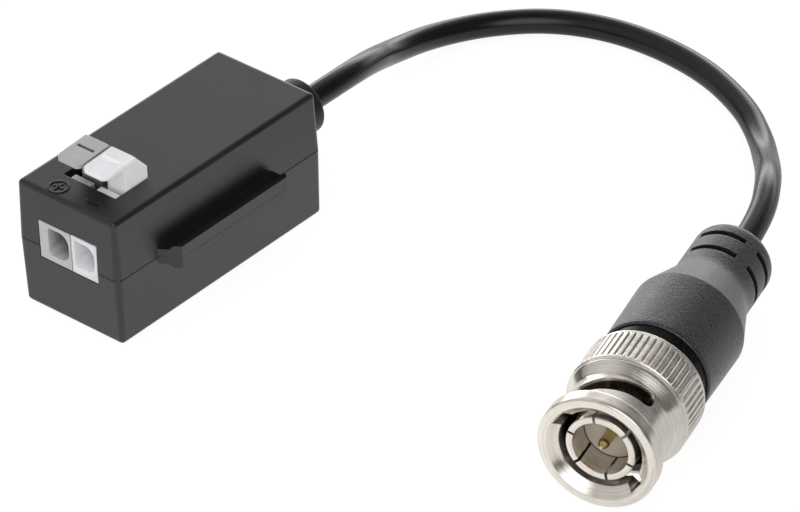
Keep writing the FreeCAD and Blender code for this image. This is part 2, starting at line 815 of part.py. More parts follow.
def bayonet_slot():
    """A slot through the neck that climbs from the lug's entry to its locking place."""
    half = bayonet_slot_width / 2
    low, high = nut_bore_radius - 0.6, rim_radius
    steps = 9
    sections = []
    for i in range(steps + 1):
        share = i / steps
        angle = math.radians(bayonet_entry_deg + share * (bayonet_lock_deg - bayonet_entry_deg))
        climb = 1 - (1 - share) ** 1.6
        place = bayonet_entry_at + climb * (bayonet_lock_at - bayonet_entry_at)
        corners = [Vector(r * math.cos(angle), place + t, r * math.sin(angle))
                   for r, t in ((low, -half), (high, -half), (high, half), (low, half))]
        sections.append(Part.makePolygon(corners + corners[:1]))
    slot = Part.makeLoft(sections, True, False)
    for angle, place in ((bayonet_entry_deg, bayonet_entry_at),
                         (bayonet_lock_deg, bayonet_lock_at)):
        end = rod(Vector(low, place, 0), Vector(high, place, 0), half)
        slot = slot.fuse(around_axis(end, angle))
    return slot


def coupling_nut():
    """The bayonet nut: flared rim, slotted neck, rounded shoulder and knurled grip."""
    nut = turned([
        (rim_mouth_radius, 0, 0), (rim_radius, 0, 0.3), (rim_radius, rim_thickness, 0.2),
        (neck_radius, rim_thickness, 0.15), (neck_radius, neck_end, 0.3),
        (rim_radius - edge_step, neck_end + shoulder_length, 0.7),
        (rim_radius - edge_step, knurl_start - shoulder_band, 0),
        (knurl_radius - knurl_depth - edge_step, knurl_start - shoulder_band, 0),
        (knurl_radius - knurl_depth - edge_step, knurl_start, 0),
        (knurl_radius - knurl_depth, knurl_start, 0), (knurl_radius - knurl_depth, knurl_end, 0),
        (knurl_radius - edge_step, knurl_end, 0), (knurl_radius - edge_step, nut_length, 0.15),
        (cavity_radius, nut_length, 0), (cavity_radius, ring_front + ring_thickness + pivot_gap, 0),
        (cavity_radius + ring_groove_depth, ring_front + ring_thickness + pivot_gap, 0),
        (cavity_radius + ring_groove_depth, ring_front - pivot_gap, 0),
        (cavity_radius, ring_front - pivot_gap, 0), (cavity_radius, nut_step, 0),
        (nut_bore_radius, nut_step, 0), (nut_bore_radius, mouth_depth + 0.2, 0),
        (nut_bore_radius + mouth_step, mouth_depth, 0),
    ])
    nut = nut.fuse(knurl_band())
    slot = bayonet_slot()
    groove = box((sleeve_radius, lug_groove_radius), (-1, bayonet_entry_at),
                 (-lug_groove_width / 2, lug_groove_width / 2))
    groove = around_axis(groove, bayonet_entry_deg)
    for turn in (0, 180):
        nut = nut.cut(around_axis(slot, turn)).cut(around_axis(groove, turn))
    return nut


def plug_body():
    """The outer contact: slit sleeve, thrust flange, hub and the spigot under the braid."""
    body = turned([
        (sleeve_bore_radius, sleeve_start, 0), (sleeve_radius, sleeve_start, 0.2),
        (sleeve_radius, flange_front, 0), (nut_inner_radius, flange_front, 0),
        (nut_inner_radius, flange_rear, 0), (hub_radius, flange_rear, 0),
        (hub_radius, hub_end, 0), (spigot_radius, hub_end, 0), (spigot_radius, spigot_end, 0),
        (spigot_bore, spigot_end, 0), (spigot_bore, insulator_end + bore_gap, 0),
        (sleeve_bore_radius, insulator_end + bore_gap, 0),
    ])
    slit = box((sleeve_bore_radius - 0.5, sleeve_radius + 0.5),
               (sleeve_start - 0.5, sleeve_start + slit_length), (-slit_width / 2, slit_width / 2))
    for i in range(sleeve_slits):
        body = body.cut(around_axis(slit, slit_phase_deg + i * 360.0 / sleeve_slits))
    return body


def plug_insulator():
    """The white disc and tube that hold the centre pin in the sleeve."""
    outer = sleeve_bore_radius - bore_gap
    step = insulator_start + insulator_collar_at
    return turned(sharp([
        (centre_pin_radius + bore_gap, insulator_start), (outer, insulator_start),
        (outer, insulator_end), (pin_collar_radius + bore_gap, insulator_end),
        (pin_collar_radius + bore_gap, step), (centre_pin_radius + bore_gap, step),
    ]))


def centre_pin():
    """The gold pin, with a blunt cone at its front and a collar that the insulator holds."""
    collar = insulator_start + insulator_collar_at + fit_gap
    return turned([
        (0, centre_pin_start, 0), (pin_tip_radius, centre_pin_start, 0),
        (centre_pin_radius, centre_pin_start + pin_tip_length, 0.2), (centre_pin_radius, collar, 0),
        (pin_collar_radius, collar, 0), (pin_collar_radius, insulator_end, 0), (0, insulator_end, 0),
    ])


def wave_washer():
    """A spring washer with waves round its ring, drawn through radial sections."""
    inner, outer = hub_radius + groove_gap, nut_inner_radius
    height = (washer_height - washer_thickness) / 2
    middle = flange_rear + fit_gap + washer_height / 2
    half = washer_thickness / 2
    steps = 8 * washer_waves
    sections = []
    for i in range(steps):
        angle = 2 * math.pi * i / steps
        place = middle + height * math.cos(washer_waves * angle)
        corners = [Vector(r * math.cos(angle), place + t, r * math.sin(angle))
                   for r, t in ((inner, -half), (outer, -half), (outer, half), (inner, half))]
        sections.append(Part.makePolygon(corners + corners[:1]))
    segments = []
    for i in range(steps):
        segments.append(Part.makeLoft([sections[i], sections[(i + 1) % steps]], True, True))
    washer = segments[0]
    return washer.fuse(segments[1:])


def retaining_ring():
    """A snap ring with a gap, in the nut's groove behind the thrust washer."""
    outer = cavity_radius + ring_groove_depth - fit_gap
    snap = ring(cavity_radius - 0.9, outer, ring_front, ring_front + ring_thickness)
    gap = box((0, outer + 1), (ring_front - 1, ring_front + 2), (-1.3, 1.3))
    return snap.cut(around_axis(gap, 250))


def crimp_ferrule():
    """A sleeve pressed over the braid and the jacket's end."""
    outer = spigot_radius + bore_gap + ferrule_thickness
    return turned(sharp([
        (spigot_radius + bore_gap, ferrule_start), (outer, ferrule_start), (outer, ferrule_end),
        (cable_radius + bore_gap, ferrule_end), (cable_radius + bore_gap, spigot_end + fit_gap),
        (spigot_radius + bore_gap, spigot_end + fit_gap),
    ]))


def plug_boot():
    """The moulded boot: barrel, crease, waist and a slotted collar that bends with the cable."""
    ferrule_outer = spigot_radius + bore_gap + ferrule_thickness
    hub_clear = hub_radius + bore_gap
    boot = turned([
        (hub_clear, boot_start, 0), (boot_ring_radius, boot_start, 0.2),
        (boot_ring_radius, boot_ring_end, 0), (boot_barrel_radius, boot_ring_end, 0.25),
        (boot_crease_radius, boot_crease_at, 0.4),
        (boot_waist_radius, boot_waist_at, boot_waist_fillet),
        (boot_waist_radius, boot_end - boot_end_length, 1.2), (boot_end_radius, boot_end, 0.4),
        (cable_radius + bore_gap, boot_end, 0), (cable_radius + bore_gap, ferrule_end + bore_gap, 0),
        (ferrule_outer + bore_gap, ferrule_end + bore_gap, 0),
        (ferrule_outer + bore_gap, hub_end + bore_gap, 0), (hub_clear, hub_end + bore_gap, 0),
    ])
    floor = boot_waist_radius - boot_slot_depth
    for place in boot_slot_places:
        groove = ring(floor, boot_waist_radius + 1, place - boot_slot_width / 2,
                      place + boot_slot_width / 2)
        webs = []
        for i in range(boot_webs):
            across = 2 * boot_waist_radius * math.sin(math.radians(boot_web_deg / 2))
            web = box((0, boot_waist_radius + 2), (place - 1, place + 1), (-across / 2, across / 2))
            webs.append(around_axis(web, boot_web_phase_deg + i * 360.0 / boot_webs))
        for web in webs:
            groove = groove.cut(web)
        boot = boot.cut(groove)
    return boot


def housing_pieces():
    """Everything that stays in or on the housing."""
    lower_blank, upper_blank = shell_blanks()
    pieces = {
        "lower_shell": lower_shell(lower_blank),
        "upper_shell": upper_shell(upper_blank),
        "circuit_board": circuit_board(),
        "ferrite_core": toroid(),
        "first_winding": winding(27.5),
        "second_winding": winding(207.5),
        "surge_suppressor": surge_suppressor(core_x, parts_y),
        "capacitor": chip(core_x - part_pitch, parts_y, capacitor_size),
        "resistor": chip(core_x + part_pitch, parts_y, resistor_size),
        "strain_relief": strain_relief(),
    }
    for colour, x, has_end_wall in (("grey", grey_x, True), ("white", white_x, False)):
        pieces[colour + "_terminal_body"] = terminal_body(x, has_end_wall)
        pieces[colour + "_lever"] = lever(x)
        pieces[colour + "_clamp_spring"] = clamp_spring(x)
        pieces[colour + "_contact"] = contact(x)
    pieces.update(inner_cable_pieces())
    return pieces


def plug_pieces():
    """Everything on the plug, drawn about the Y axis with its front rim at the origin."""
    gasket = (sleeve_radius + bore_gap, nut_bore_radius - groove_gap)
    return {
        "coupling_nut": coupling_nut(),
        "plug_body": plug_body(),
        "plug_insulator": plug_insulator(),
        "centre_pin": centre_pin(),
        "sealing_gasket": ring(gasket[0], gasket[1], flange_front - gasket_thickness - bore_gap,
                               flange_front - bore_gap),
        "wave_washer": wave_washer(),
        "thrust_washer": ring(hub_radius + bore_gap, nut_inner_radius, thrust_front,
                              thrust_front + thrust_thickness),
        "retaining_ring": retaining_ring(),
        "crimp_ferrule": crimp_ferrule(),
        "plug_dielectric": ring_bore(dielectric_radius, insulator_end + bore_gap, jacket_in_plug),
        "cable_plug_end": ring_bore(cable_radius, jacket_in_plug, boot_end),
        "plug_boot": plug_boot(),
    }


for name, shape in housing_pieces().items():
    save(name, shape)
for name, shape in plug_pieces().items():
    save(name, on_plug(shape))
save("cable", cable())
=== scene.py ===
import json
import math

import bmesh
import bpy
import numpy as np
from bpy.props import (BoolProperty, FloatProperty, FloatVectorProperty, IntProperty,
                       PointerProperty)
from mathutils import Matrix, Vector


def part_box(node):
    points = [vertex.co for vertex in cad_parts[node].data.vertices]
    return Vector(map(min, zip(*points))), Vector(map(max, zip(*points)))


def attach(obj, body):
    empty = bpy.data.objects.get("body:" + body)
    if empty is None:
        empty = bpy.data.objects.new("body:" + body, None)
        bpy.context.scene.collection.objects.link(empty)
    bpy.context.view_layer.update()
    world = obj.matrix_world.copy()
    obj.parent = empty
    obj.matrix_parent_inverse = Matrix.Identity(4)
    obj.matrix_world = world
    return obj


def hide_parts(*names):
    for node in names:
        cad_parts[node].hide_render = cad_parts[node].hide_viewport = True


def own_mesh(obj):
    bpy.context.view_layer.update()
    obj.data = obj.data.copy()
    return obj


bl_info = {
    "name": "Video balun looks",
    "version": (1, 0, 0),
    "blender": (4, 5, 0),
    "location": "View3D > Sidebar > Balun",
    "description": "Dresses a small housing with a lever terminal, its cable and its coaxial plug",
    "category": "Add Mesh",
}

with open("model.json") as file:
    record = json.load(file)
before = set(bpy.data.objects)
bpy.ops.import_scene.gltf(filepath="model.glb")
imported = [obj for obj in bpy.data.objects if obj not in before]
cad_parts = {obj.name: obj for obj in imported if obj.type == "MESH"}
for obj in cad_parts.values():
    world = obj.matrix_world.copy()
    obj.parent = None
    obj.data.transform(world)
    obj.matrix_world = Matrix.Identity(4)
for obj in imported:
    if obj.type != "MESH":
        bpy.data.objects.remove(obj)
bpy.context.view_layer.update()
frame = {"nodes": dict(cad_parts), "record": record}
record = frame["record"]
MM = 0.001

# The plug's place and direction come from the frame's own mating face, whose axis points forwards
RIM = next(m for m in record["mounts"] if m["name"] == "plug_mating_face")
PLUG_YAW = math.atan2(RIM["axis"][0], -RIM["axis"][1])
PLUG_PLACE = Matrix.Translation(RIM["pos_m"]) @ Matrix.Rotation(PLUG_YAW, 4, "Z")

# The parting line lies below the lower shell's top by the height of its hidden lip
LIP_HEIGHT = 0.8 * MM
SPLIT_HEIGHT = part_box("lower_shell")[1].z - LIP_HEIGHT
RELIEF_PLACE = Matrix.Translation((0.0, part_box("strain_relief")[0].y, SPLIT_HEIGHT))
CASE_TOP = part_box("upper_shell")[1].z

# Degrees round the plug's axis to the first lug way, where a slot begins
LUG_ANGLE = 143.0
# The base colour of spring steel
STEEL = (0.55, 0.53, 0.50)

# The free cable's route, in metres: level out of the relief, down to the table, round and up
CABLE_ROUTE = [
    (0.0, 0.0233, 0.00895),
    (0.0, 0.0299, 0.00895),
    (-0.0017, 0.0365, 0.0072),
    (-0.0041, 0.0427, 0.0043),
    (-0.0046, 0.0506, 0.0024),
    (-0.0016, 0.0581, 0.0016),
    (0.0045, 0.0638, 0.0016),
    (0.0134, 0.0668, 0.0016),
    (0.0246, 0.0664, 0.0016),
    (0.0340, 0.0629, 0.0016),
    (0.0398, 0.0588, 0.0016),
    (0.0446, 0.0539, 0.0029),
    (0.0509, 0.0465, 0.0069),
    (0.055526, 0.039182, 0.00725),
    (0.057606, 0.032185, 0.00725),
]


class HousingLooks(bpy.types.PropertyGroup):
    """The housing's plastic and its marks."""
    colour: FloatVectorProperty(
        name="Colour", description="Colour of the moulded shells", subtype="COLOR",
        size=3, min=0, max=1, default=(0.006, 0.006, 0.0062))
    roughness: FloatProperty(
        name="Roughness", description="Gloss of the fine moulded texture", min=0, max=1,
        default=0.33)
    grain: FloatProperty(
        name="Grain", description="Size of one grain of the moulded texture", unit="LENGTH",
        default=0.16 * MM)
    mark_radius: FloatProperty(
        name="Mark radius", description="Radius of the ring round the plus sign",
        unit="LENGTH", default=1.15 * MM)


class TerminalLooks(bpy.types.PropertyGroup):
    """The wire terminal's plastics and metal."""
    grey: FloatVectorProperty(
        name="Grey", description="Colour of the grey pole", subtype="COLOR",
        size=3, min=0, max=1, default=(0.36, 0.36, 0.365))
    white: FloatVectorProperty(
        name="White", description="Colour of the white pole", subtype="COLOR",
        size=3, min=0, max=1, default=(0.56, 0.565, 0.58))
    spring: FloatVectorProperty(
        name="Spring", description="Colour of the spring strip", subtype="COLOR",
        size=3, min=0, max=1, default=STEEL)


class PlugLooks(bpy.types.PropertyGroup):
    """Sizes and colours of the coaxial plug."""
    nickel: FloatVectorProperty(
        name="Nickel", description="Colour of the plated nut and sleeve", subtype="COLOR",
        size=3, min=0, max=1, default=(0.85, 0.80, 0.725))
    gold: FloatVectorProperty(
        name="Gold", description="Colour of the centre pin", subtype="COLOR",
        size=3, min=0, max=1, default=(0.62, 0.52, 0.24))
    insulator: FloatVectorProperty(
        name="Insulator", description="Colour of the disc behind the pin", subtype="COLOR",
        size=3, min=0, max=1, default=(0.44, 0.385, 0.32))
    knurl_teeth: IntProperty(
        name="Knurl teeth", description="Serrations round the nut", min=12, default=56)
    knurl_depth: FloatProperty(
        name="Knurl depth", description="Depth of one serration", unit="LENGTH",
        default=0.27 * MM)
    slot_width: FloatProperty(
        name="Slot width", description="Width of a bayonet slot", unit="LENGTH",
        default=2.24 * MM)
    slits: IntProperty(
        name="Slits", description="Slits in the outer contact", min=2, default=6)


class BootLooks(bpy.types.PropertyGroup):
    """Sizes and colour of the moulded boot and the strain relief."""
    colour: FloatVectorProperty(
        name="Colour", description="Colour of the grained rubber", subtype="COLOR",
        size=3, min=0, max=1, default=(0.0055, 0.0055, 0.0058))
    grain: FloatProperty(
        name="Grain", description="Size of one grain of the rubber", unit="LENGTH",
        default=0.21 * MM)
    slot_depth: FloatProperty(
        name="Slot depth", description="Depth of the collar's slots", unit="LENGTH",
        default=0.9 * MM)
    webs: IntProperty(
        name="Webs", description="Webs left between the slots of one row", min=2, default=4)


class CableLooks(bpy.types.PropertyGroup):
    """Size and colour of the cable."""
    colour: FloatVectorProperty(
        name="Colour", description="Colour of the jacket", subtype="COLOR",
        size=3, min=0, max=1, default=(0.003, 0.003, 0.0033))
    diameter: FloatProperty(
        name="Diameter", description="Outside of the jacket", unit="LENGTH",
        default=3.1 * MM)


class StageLooks(bpy.types.PropertyGroup):
    """The floor, the light and the camera."""
    floor_size: FloatProperty(
        name="Floor size", description="Side of the floor sheet", unit="LENGTH", default=6.0)
    key_power: FloatProperty(
        name="Key light", description="Power of the large light over the housing",
        unit="POWER", default=0.4)
    fill_power: FloatProperty(
        name="Fill light", description="Power of the light on the plug's side",
        unit="POWER", default=2.0)
    floor_front: FloatProperty(
        name="Floor in front", description="Level of the floor in reflections, front left",
        min=0, default=0.82)
    floor_back: FloatProperty(
        name="Floor behind", description="Level of the floor in reflections, back right",
        min=0, default=1.15)
    floor_far: FloatProperty(
        name="Floor far off", description="Share of that level left beyond the plug",
        min=0, max=1, default=0.48)
    show_floor: BoolProperty(
        name="Floor", description="Lay the floor under the part", default=True)


class NodeTree:
    """The nodes of a new material or world, added one after another."""

    def __init__(self, name, kind="materials", shader="Principled BSDF"):
        self.owner = getattr(bpy.data, kind).new(name)
        self.owner.use_nodes = True
        self.tree = self.owner.node_tree
        self.shader = self.tree.nodes[shader]

    def feed(self, value, socket):
        """Links another node's output to a socket, or sets the socket to a plain value."""
        if isinstance(value, bpy.types.NodeSocket):
            self.tree.links.new(value, socket)
        else:
            socket.default_value = value

    def add(self, kind, **values):
        """A node of that kind, with its properties and sockets fed by name."""
        node = self.tree.nodes.new(kind)
        for key, value in values.items():
            if key in node.bl_rna.properties:
                setattr(node, key, value)
            else:
                self.feed(value, node.inputs[key.replace("_", " ")])
        return node

    def set(self, **values):
        """Feeds the shader's own sockets by name."""
        for key, value in values.items():
            self.feed(value, self.shader.inputs[key.replace("_", " ")])

    def join(self, operation, *values):
        """A number worked out from others."""
        node = self.add("ShaderNodeMath", operation=operation)
        for socket, value in zip(node.inputs, values):
            self.feed(value, socket)
        return node.outputs[0]

    def vector(self, operation, *values):
        """A vector worked out from others, or the number that a product or a length gives."""
        node = self.add("ShaderNodeVectorMath", operation=operation)
        for socket, value in zip(node.inputs, values):
            self.feed(value, socket)
        return node.outputs["Value" if operation in ("DOT_PRODUCT", "LENGTH") else "Vector"]

    def mix(self, kind, factor, start, end):
        """A colour (RGBA) or a number (FLOAT) between two others."""
        node = self.add("ShaderNodeMix", data_type=kind, Factor=factor, A=start, B=end)
        return node.outputs["Result"]

    def noise(self, source, size, detail=3.0):
        """Noise whose features are about that many metres wide."""
        return self.add("ShaderNodeTexNoise", Scale=1.0 / size, Detail=detail,
                        Vector=source).outputs["Fac"]

    def stretch(self, value, start, end, low, high, smooth=False):
        """A number that goes from low to high as the value goes from start to end."""
        node = self.add("ShaderNodeMapRange", From_Min=start, From_Max=end, To_Min=low,
                        To_Max=high, Value=value)
        node.interpolation_type = "SMOOTHSTEP" if smooth else "LINEAR"
        return node.outputs["Result"]

    def spread(self, factor, low, high):
        """A number that goes from low to high over the usual values of a noise."""
        return self.stretch(factor, 0.3, 0.7, low, high)

    def shades(self, factor, colour, dark, light):
        """A colour between its own dark and light shares, which stay under 1."""
        ends = [(*[min(1, share * c) for c in colour], 1) for share in (dark, light)]
        return self.mix("RGBA", self.spread(factor, 0.0, 1.0), *ends)

    def times(self, colour, factor):
        """A colour with each part multiplied by a factor."""
        return self.add("ShaderNodeVectorMath", operation="SCALE", Vector=colour,
                        Scale=factor).outputs["Vector"]

    def painted_light_and_shade_factor(self, reach, shut, open_at, low, high):
        """A number that goes from low in recessed places to high in open ones, by ambient
        occlusion. It sets where shade is painted into a colour, and in pale plastic where light is
        painted into it.
        """
        node = self.add("ShaderNodeAmbientOcclusion", samples=8, Distance=reach)
        return self.stretch(node.outputs["AO"], shut, open_at, low, high)

    def rounded_edges(self, radius):
        """Normals that round each hard edge by a small radius."""
        return self.add("ShaderNodeBevel", samples=6, Radius=radius).outputs["Normal"]

    def bump(self, height, distance, strength=1.0, **normal):
        """Relief of that height in metres, on top of other normals if they are given."""
        return self.add("ShaderNodeBump", Strength=strength, Distance=distance, Height=height,
                        **normal).outputs["Normal"]


def object_point(nodes):
    """The point on the surface in the frame's own coordinates."""
    return nodes.add("ShaderNodeTexCoord").outputs["Object"]


def housing_plastic(looks):
    """Fine satin moulded plastic with a hairline where the two shells meet. The hairline is
    weaker over the first 0.7 mm behind the front face."""
    nodes = NodeTree("black_housing_plastic")
    point = object_point(nodes)
    grain = nodes.noise(point, looks.grain, 4.0)
    cloud = nodes.noise(point, 6 * MM, 2.0)
    place = nodes.add("ShaderNodeSeparateXYZ", Vector=point).outputs
    half_line, half_blur = 0.03 * MM, 0.09 * MM
    apart = nodes.join("ABSOLUTE", nodes.join("SUBTRACT", place["Z"], SPLIT_HEIGHT))
    seam = nodes.stretch(apart, half_line, half_blur, 0.0, 1.0, True)
    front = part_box("lower_shell")[0].y
    weak_to, full_from = front + 0.1 * MM, front + 0.7 * MM
    gain, rest = (nodes.stretch(place["Y"], weak_to, full_from, near, far)
                  for near, far in ((0.3, 1.0), (0.7, 0.0)))
    line = nodes.join("MULTIPLY_ADD", seam, gain, rest)
    relief = nodes.join("MULTIPLY_ADD", line, 2.0, grain)
    nodes.set(
        Base_Color=nodes.mix("RGBA", line, (0.003, 0.003, 0.003, 1),
                             nodes.shades(cloud, looks.colour, 0.8, 1.25)),
        Roughness=nodes.spread(grain, looks.roughness - 0.04, looks.roughness + 0.05),
        Normal=nodes.bump(relief, 0.006 * MM, Normal=nodes.rounded_edges(0.12 * MM)),
        Specular_IOR_Level=0.62)
    return nodes.owner


def moulded_plastic(name, colour, roughness, painted_recess_share=0.7, soft=0.0):
    """Smooth moulded plastic: a slow change of tone, faint flow marks and soft edges. Recessed
    places are painted with that share of the colour, painted shade below 1 and painted light
    above it, and soft plastic lets light through under its skin."""
    nodes = NodeTree(name)
    point = object_point(nodes)
    cloud = nodes.noise(point, 2.5 * MM, 2.0)
    fine = nodes.noise(point, 0.4 * MM)
    # Painted shade in a recess sets in late, and painted light, paler than the plastic, sets in
    # early
    shut, open_at = (0.05, 0.55) if painted_recess_share < 1 else (0.3, 0.95)
    palest = 0.88
    # Base colour with painted shade in recesses, by ambient occlusion; a share over 1 paints light
    # there
    nodes.set(
        Base_Color=nodes.mix("RGBA", nodes.painted_light_and_shade_factor(4 * MM, shut, open_at, 0.0, 1.0),
                             (*[min(palest, painted_recess_share * c) for c in colour], 1),
                             nodes.shades(cloud, colour, 0.92, 1.05)),
        Roughness=nodes.spread(fine, roughness - 0.05, roughness + 0.06),
        Normal=nodes.bump(fine, 0.004 * MM, 0.6, Normal=nodes.rounded_edges(0.1 * MM)),
        Subsurface_Weight=soft, Subsurface_Scale=1.3 * MM, Subsurface_Radius=(1, 1, 1))
    return nodes.owner


def grained_rubber(name, colour, grain, roughness=0.30, height=0.08 * MM, shine=0.8):
    """Rubber with a spark-eroded grain."""
    nodes = NodeTree(name)
    point = object_point(nodes)
    coarse = nodes.noise(point, grain, 5.0)
    both = nodes.mix("FLOAT", 0.85, nodes.noise(point, 5 * MM, 2.0), coarse)
    nodes.set(
        Base_Color=nodes.shades(both, colour, 0.1, 3.2),
        Roughness=nodes.spread(coarse, roughness - 0.06, roughness + 0.1),
        Normal=nodes.bump(coarse, height, Normal=nodes.rounded_edges(0.12 * MM)),
        Specular_IOR_Level=shine, Sheen_Weight=0.3 * shine, Sheen_Roughness=0.3)
    return nodes.owner


# Mask of the painted shade in a bore
def bore_shade_mask(nodes, point, radius, along):
    """One on the outside and 0 within that radius of the plug's axis, behind that place on it.
    The change takes up the last 0.35 mm of the radius and 1.6 mm behind the place."""
    offset = nodes.vector("SUBTRACT", point, PLUG_PLACE.translation)
    axis = PLUG_PLACE.to_3x3() @ Vector((0, 1, 0))
    away = nodes.vector("LENGTH", nodes.vector("CROSS_PRODUCT", offset, axis))
    behind = nodes.vector("DOT_PRODUCT", offset, axis)
    return nodes.join("MAXIMUM", nodes.stretch(away, radius - 0.35 * MM, radius, 0.0, 1.0, True),
                      nodes.stretch(behind, along, along + 1.6 * MM, 1.0, 0.0, True))


def plated_metal(name, colour, roughness, lines=True, painted_bore_shade=None):
    """Plated turned metal: faint rings left by the lathe, soft stains and rounded edges, with
    painted shade in the crevices where it has rings. Given a bore (radius, along), shade is
    painted dark brown within that radius of the plug's axis."""
    nodes = NodeTree(name)
    point = object_point(nodes)
    cloud = nodes.noise(point, 1.8 * MM)
    tint = nodes.shades(cloud, colour, 0.94, 1.05)
    normal = nodes.rounded_edges(0.09 * MM)
    if lines:
        place = nodes.add("ShaderNodeUVMap", uv_map="surface").outputs["UV"]
        drawn = nodes.add("ShaderNodeMapping", Vector=place, Scale=(1.2, 5.0, 1.0))
        rings = nodes.noise(drawn.outputs["Vector"], 1.0, 5.0)
        tint = nodes.times(tint, nodes.spread(rings, 0.84, 1.06))
        # Painted shade: crevices such as the knurl's grooves are darkened in colour by ambient
        # occlusion
        tint = nodes.times(tint, nodes.painted_light_and_shade_factor(0.6 * MM, 0.2, 0.62, 0.35, 1.0))
        normal = nodes.bump(rings, 0.02 * MM, Normal=normal)
        around = nodes.add("ShaderNodeTangent", direction_type="UV_MAP", uv_map="surface")
        nodes.set(Anisotropic=0.75, Anisotropic_Rotation=0.25, Tangent=around.outputs["Tangent"])
    if painted_bore_shade is not None:
        # Painted shade: the bore is coloured dark brown where its inside lies in shade
        tint = nodes.mix("RGBA", bore_shade_mask(nodes, point, *painted_bore_shade), (0.035, 0.024, 0.016, 1), tint)
    nodes.set(Base_Color=tint, Normal=normal, Metallic=0.97 if lines else 1.0,
              Roughness=nodes.spread(cloud, roughness - 0.05, roughness + 0.08))
    return nodes.owner


def jacket_plastic(looks):
    """Extruded jacket: smooth and a little glossy, with a faint unevenness along its length."""
    nodes = NodeTree("black_cable_jacket")
    point = object_point(nodes)
    fine = nodes.noise(point, 0.35 * MM)
    nodes.set(Base_Color=nodes.shades(nodes.noise(point, 4 * MM, 2.0), looks.colour, 0.8, 1.3),
              Roughness=nodes.spread(fine, 0.20, 0.28),
              Normal=nodes.bump(fine, 0.004 * MM, 0.8), Specular_IOR_Level=0.4)
    return nodes.owner


def board_laminate():
    """Green solder mask with lighter tracks under it."""
    nodes = NodeTree("green_board")
    point = object_point(nodes)
    tracks = nodes.add("ShaderNodeTexBrick", Scale=420.0, Mortar_Size=0.08, Vector=point,
                       Color1=(0.012, 0.10, 0.04, 1), Color2=(0.014, 0.11, 0.045, 1),
                       Mortar=(0.05, 0.26, 0.12, 1))
    nodes.set(Base_Color=tracks.outputs["Color"], Roughness=0.35,
              Normal=nodes.bump(nodes.noise(point, 0.3 * MM), 0.004 * MM))
    return nodes.owner


def sintered(name, colour):
    """Ferrite or fired ceramic with a fine speckle."""
    nodes = NodeTree(name)
    speck = nodes.noise(object_point(nodes), 0.12 * MM, 5.0)
    nodes.set(Base_Color=nodes.shades(speck, colour, 0.8, 1.3), Roughness=0.7,
              Normal=nodes.bump(speck, 0.01 * MM))
    return nodes.owner


def place_on(matrix, points):
    """Moves an array of points by a 4x4 matrix."""
    m = np.array(matrix)
    return points @ m[:3, :3].T + m[:3, 3]


def softened(corners):
    """A closed outline of (along, radius, fillet) corners in mm. Each filleted corner becomes an
    arc of five steps: its centre lies on the bisector at fillet / sin(half angle), and the arc
    turns evenly from one tangent point to the other."""
    steps = 5
    corners = np.array(corners, float)
    points = corners[:, :2]
    back = np.roll(points, 1, 0) - points
    ahead = np.roll(points, -1, 0) - points
    back /= np.linalg.norm(back, axis=1, keepdims=True)
    ahead /= np.linalg.norm(ahead, axis=1, keepdims=True)
    pieces = []
    for point, u, w, fillet in zip(points, back, ahead, corners[:, 2]):
        if fillet <= 0:
            pieces.append(point[None])
            continue
        half = math.acos(float(np.clip(u @ w, -1, 1))) / 2
        middle = (u + w) / np.linalg.norm(u + w)
        centre = point + middle * fillet / math.sin(half)
        start = point + u * fillet / math.tan(half) - centre
        end = point + w * fillet / math.tan(half) - centre
        turn = math.pi - 2 * half
        share = np.linspace(0, 1, steps + 1)[:, None]
        arc = (np.sin((1 - share) * turn) * start + np.sin(share * turn) * end) / math.sin(turn)
        pieces.append(centre + arc)
    return np.vstack(pieces) * MM


def refined(outline, step):
    """Adds points so that no piece of a closed outline is longer than step, in mm."""
    following = np.roll(outline, -1, 0)
    pieces = []
    for start, end in zip(outline, following):
        count = max(1, int(math.ceil(np.linalg.norm(end - start) / (step * MM))))
        share = np.arange(count)[:, None] / count
        pieces.append(start + (end - start) * share)
    return np.vstack(pieces)


def grid_mesh(name, points, wrap_rows, wrap_columns, uv=None):
    """A mesh from a grid of points (rows x columns x 3). Neighbouring points make quads, and a
    wrapped direction closes on itself. Quads face out: the enclosed volume, the sum of corner
    triple products over six, is made positive. A uv (row places, width) lays a map on it."""
    rows, columns = points.shape[:2]
    index = np.arange(rows * columns).reshape(rows, columns)
    if wrap_rows:
        index = np.vstack([index, index[:1]])
    if wrap_columns:
        index = np.hstack([index, index[:, :1]])
    quads = np.stack([index[:-1, :-1], index[1:, :-1], index[1:, 1:], index[:-1, 1:]], -1)
    quads = quads.reshape(-1, 4)
    flat = points.reshape(-1, 3)
    a, b, c, d = (flat[quads[:, k]] for k in range(4))
    volume = (np.einsum("ij,ij->i", a, np.cross(b, c)) + np.einsum("ij,ij->i", a, np.cross(c, d)))
    way = -1 if volume.sum() < 0 else 1
    quads = quads[:, ::way]
    mesh = bpy.data.meshes.new(name)
    mesh.vertices.add(len(flat))
    mesh.vertices.foreach_set("co", flat.astype(np.float32).ravel())
    mesh.loops.add(quads.size)
    mesh.loops.foreach_set("vertex_index", quads.astype(np.int32).ravel())
    mesh.polygons.add(len(quads))
    mesh.polygons.foreach_set("loop_start", np.arange(0, quads.size, 4, dtype=np.int32))
    mesh.update(calc_edges=True)
    if uv is not None:
        u = np.linspace(0, uv[1], index.shape[1])
        vv, uu = np.meshgrid(uv[0], u, indexing="ij")
        grid = np.stack([uu, vv], -1)
        corners = np.stack([grid[:-1, :-1], grid[1:, :-1], grid[1:, 1:], grid[:-1, 1:]], -2)
        corners = corners.reshape(-1, 4, 2)[:, ::way]
        layer = mesh.uv_layers.new(name="surface")
        layer.data.foreach_set("uv", corners.astype(np.float32).ravel())
    return mesh


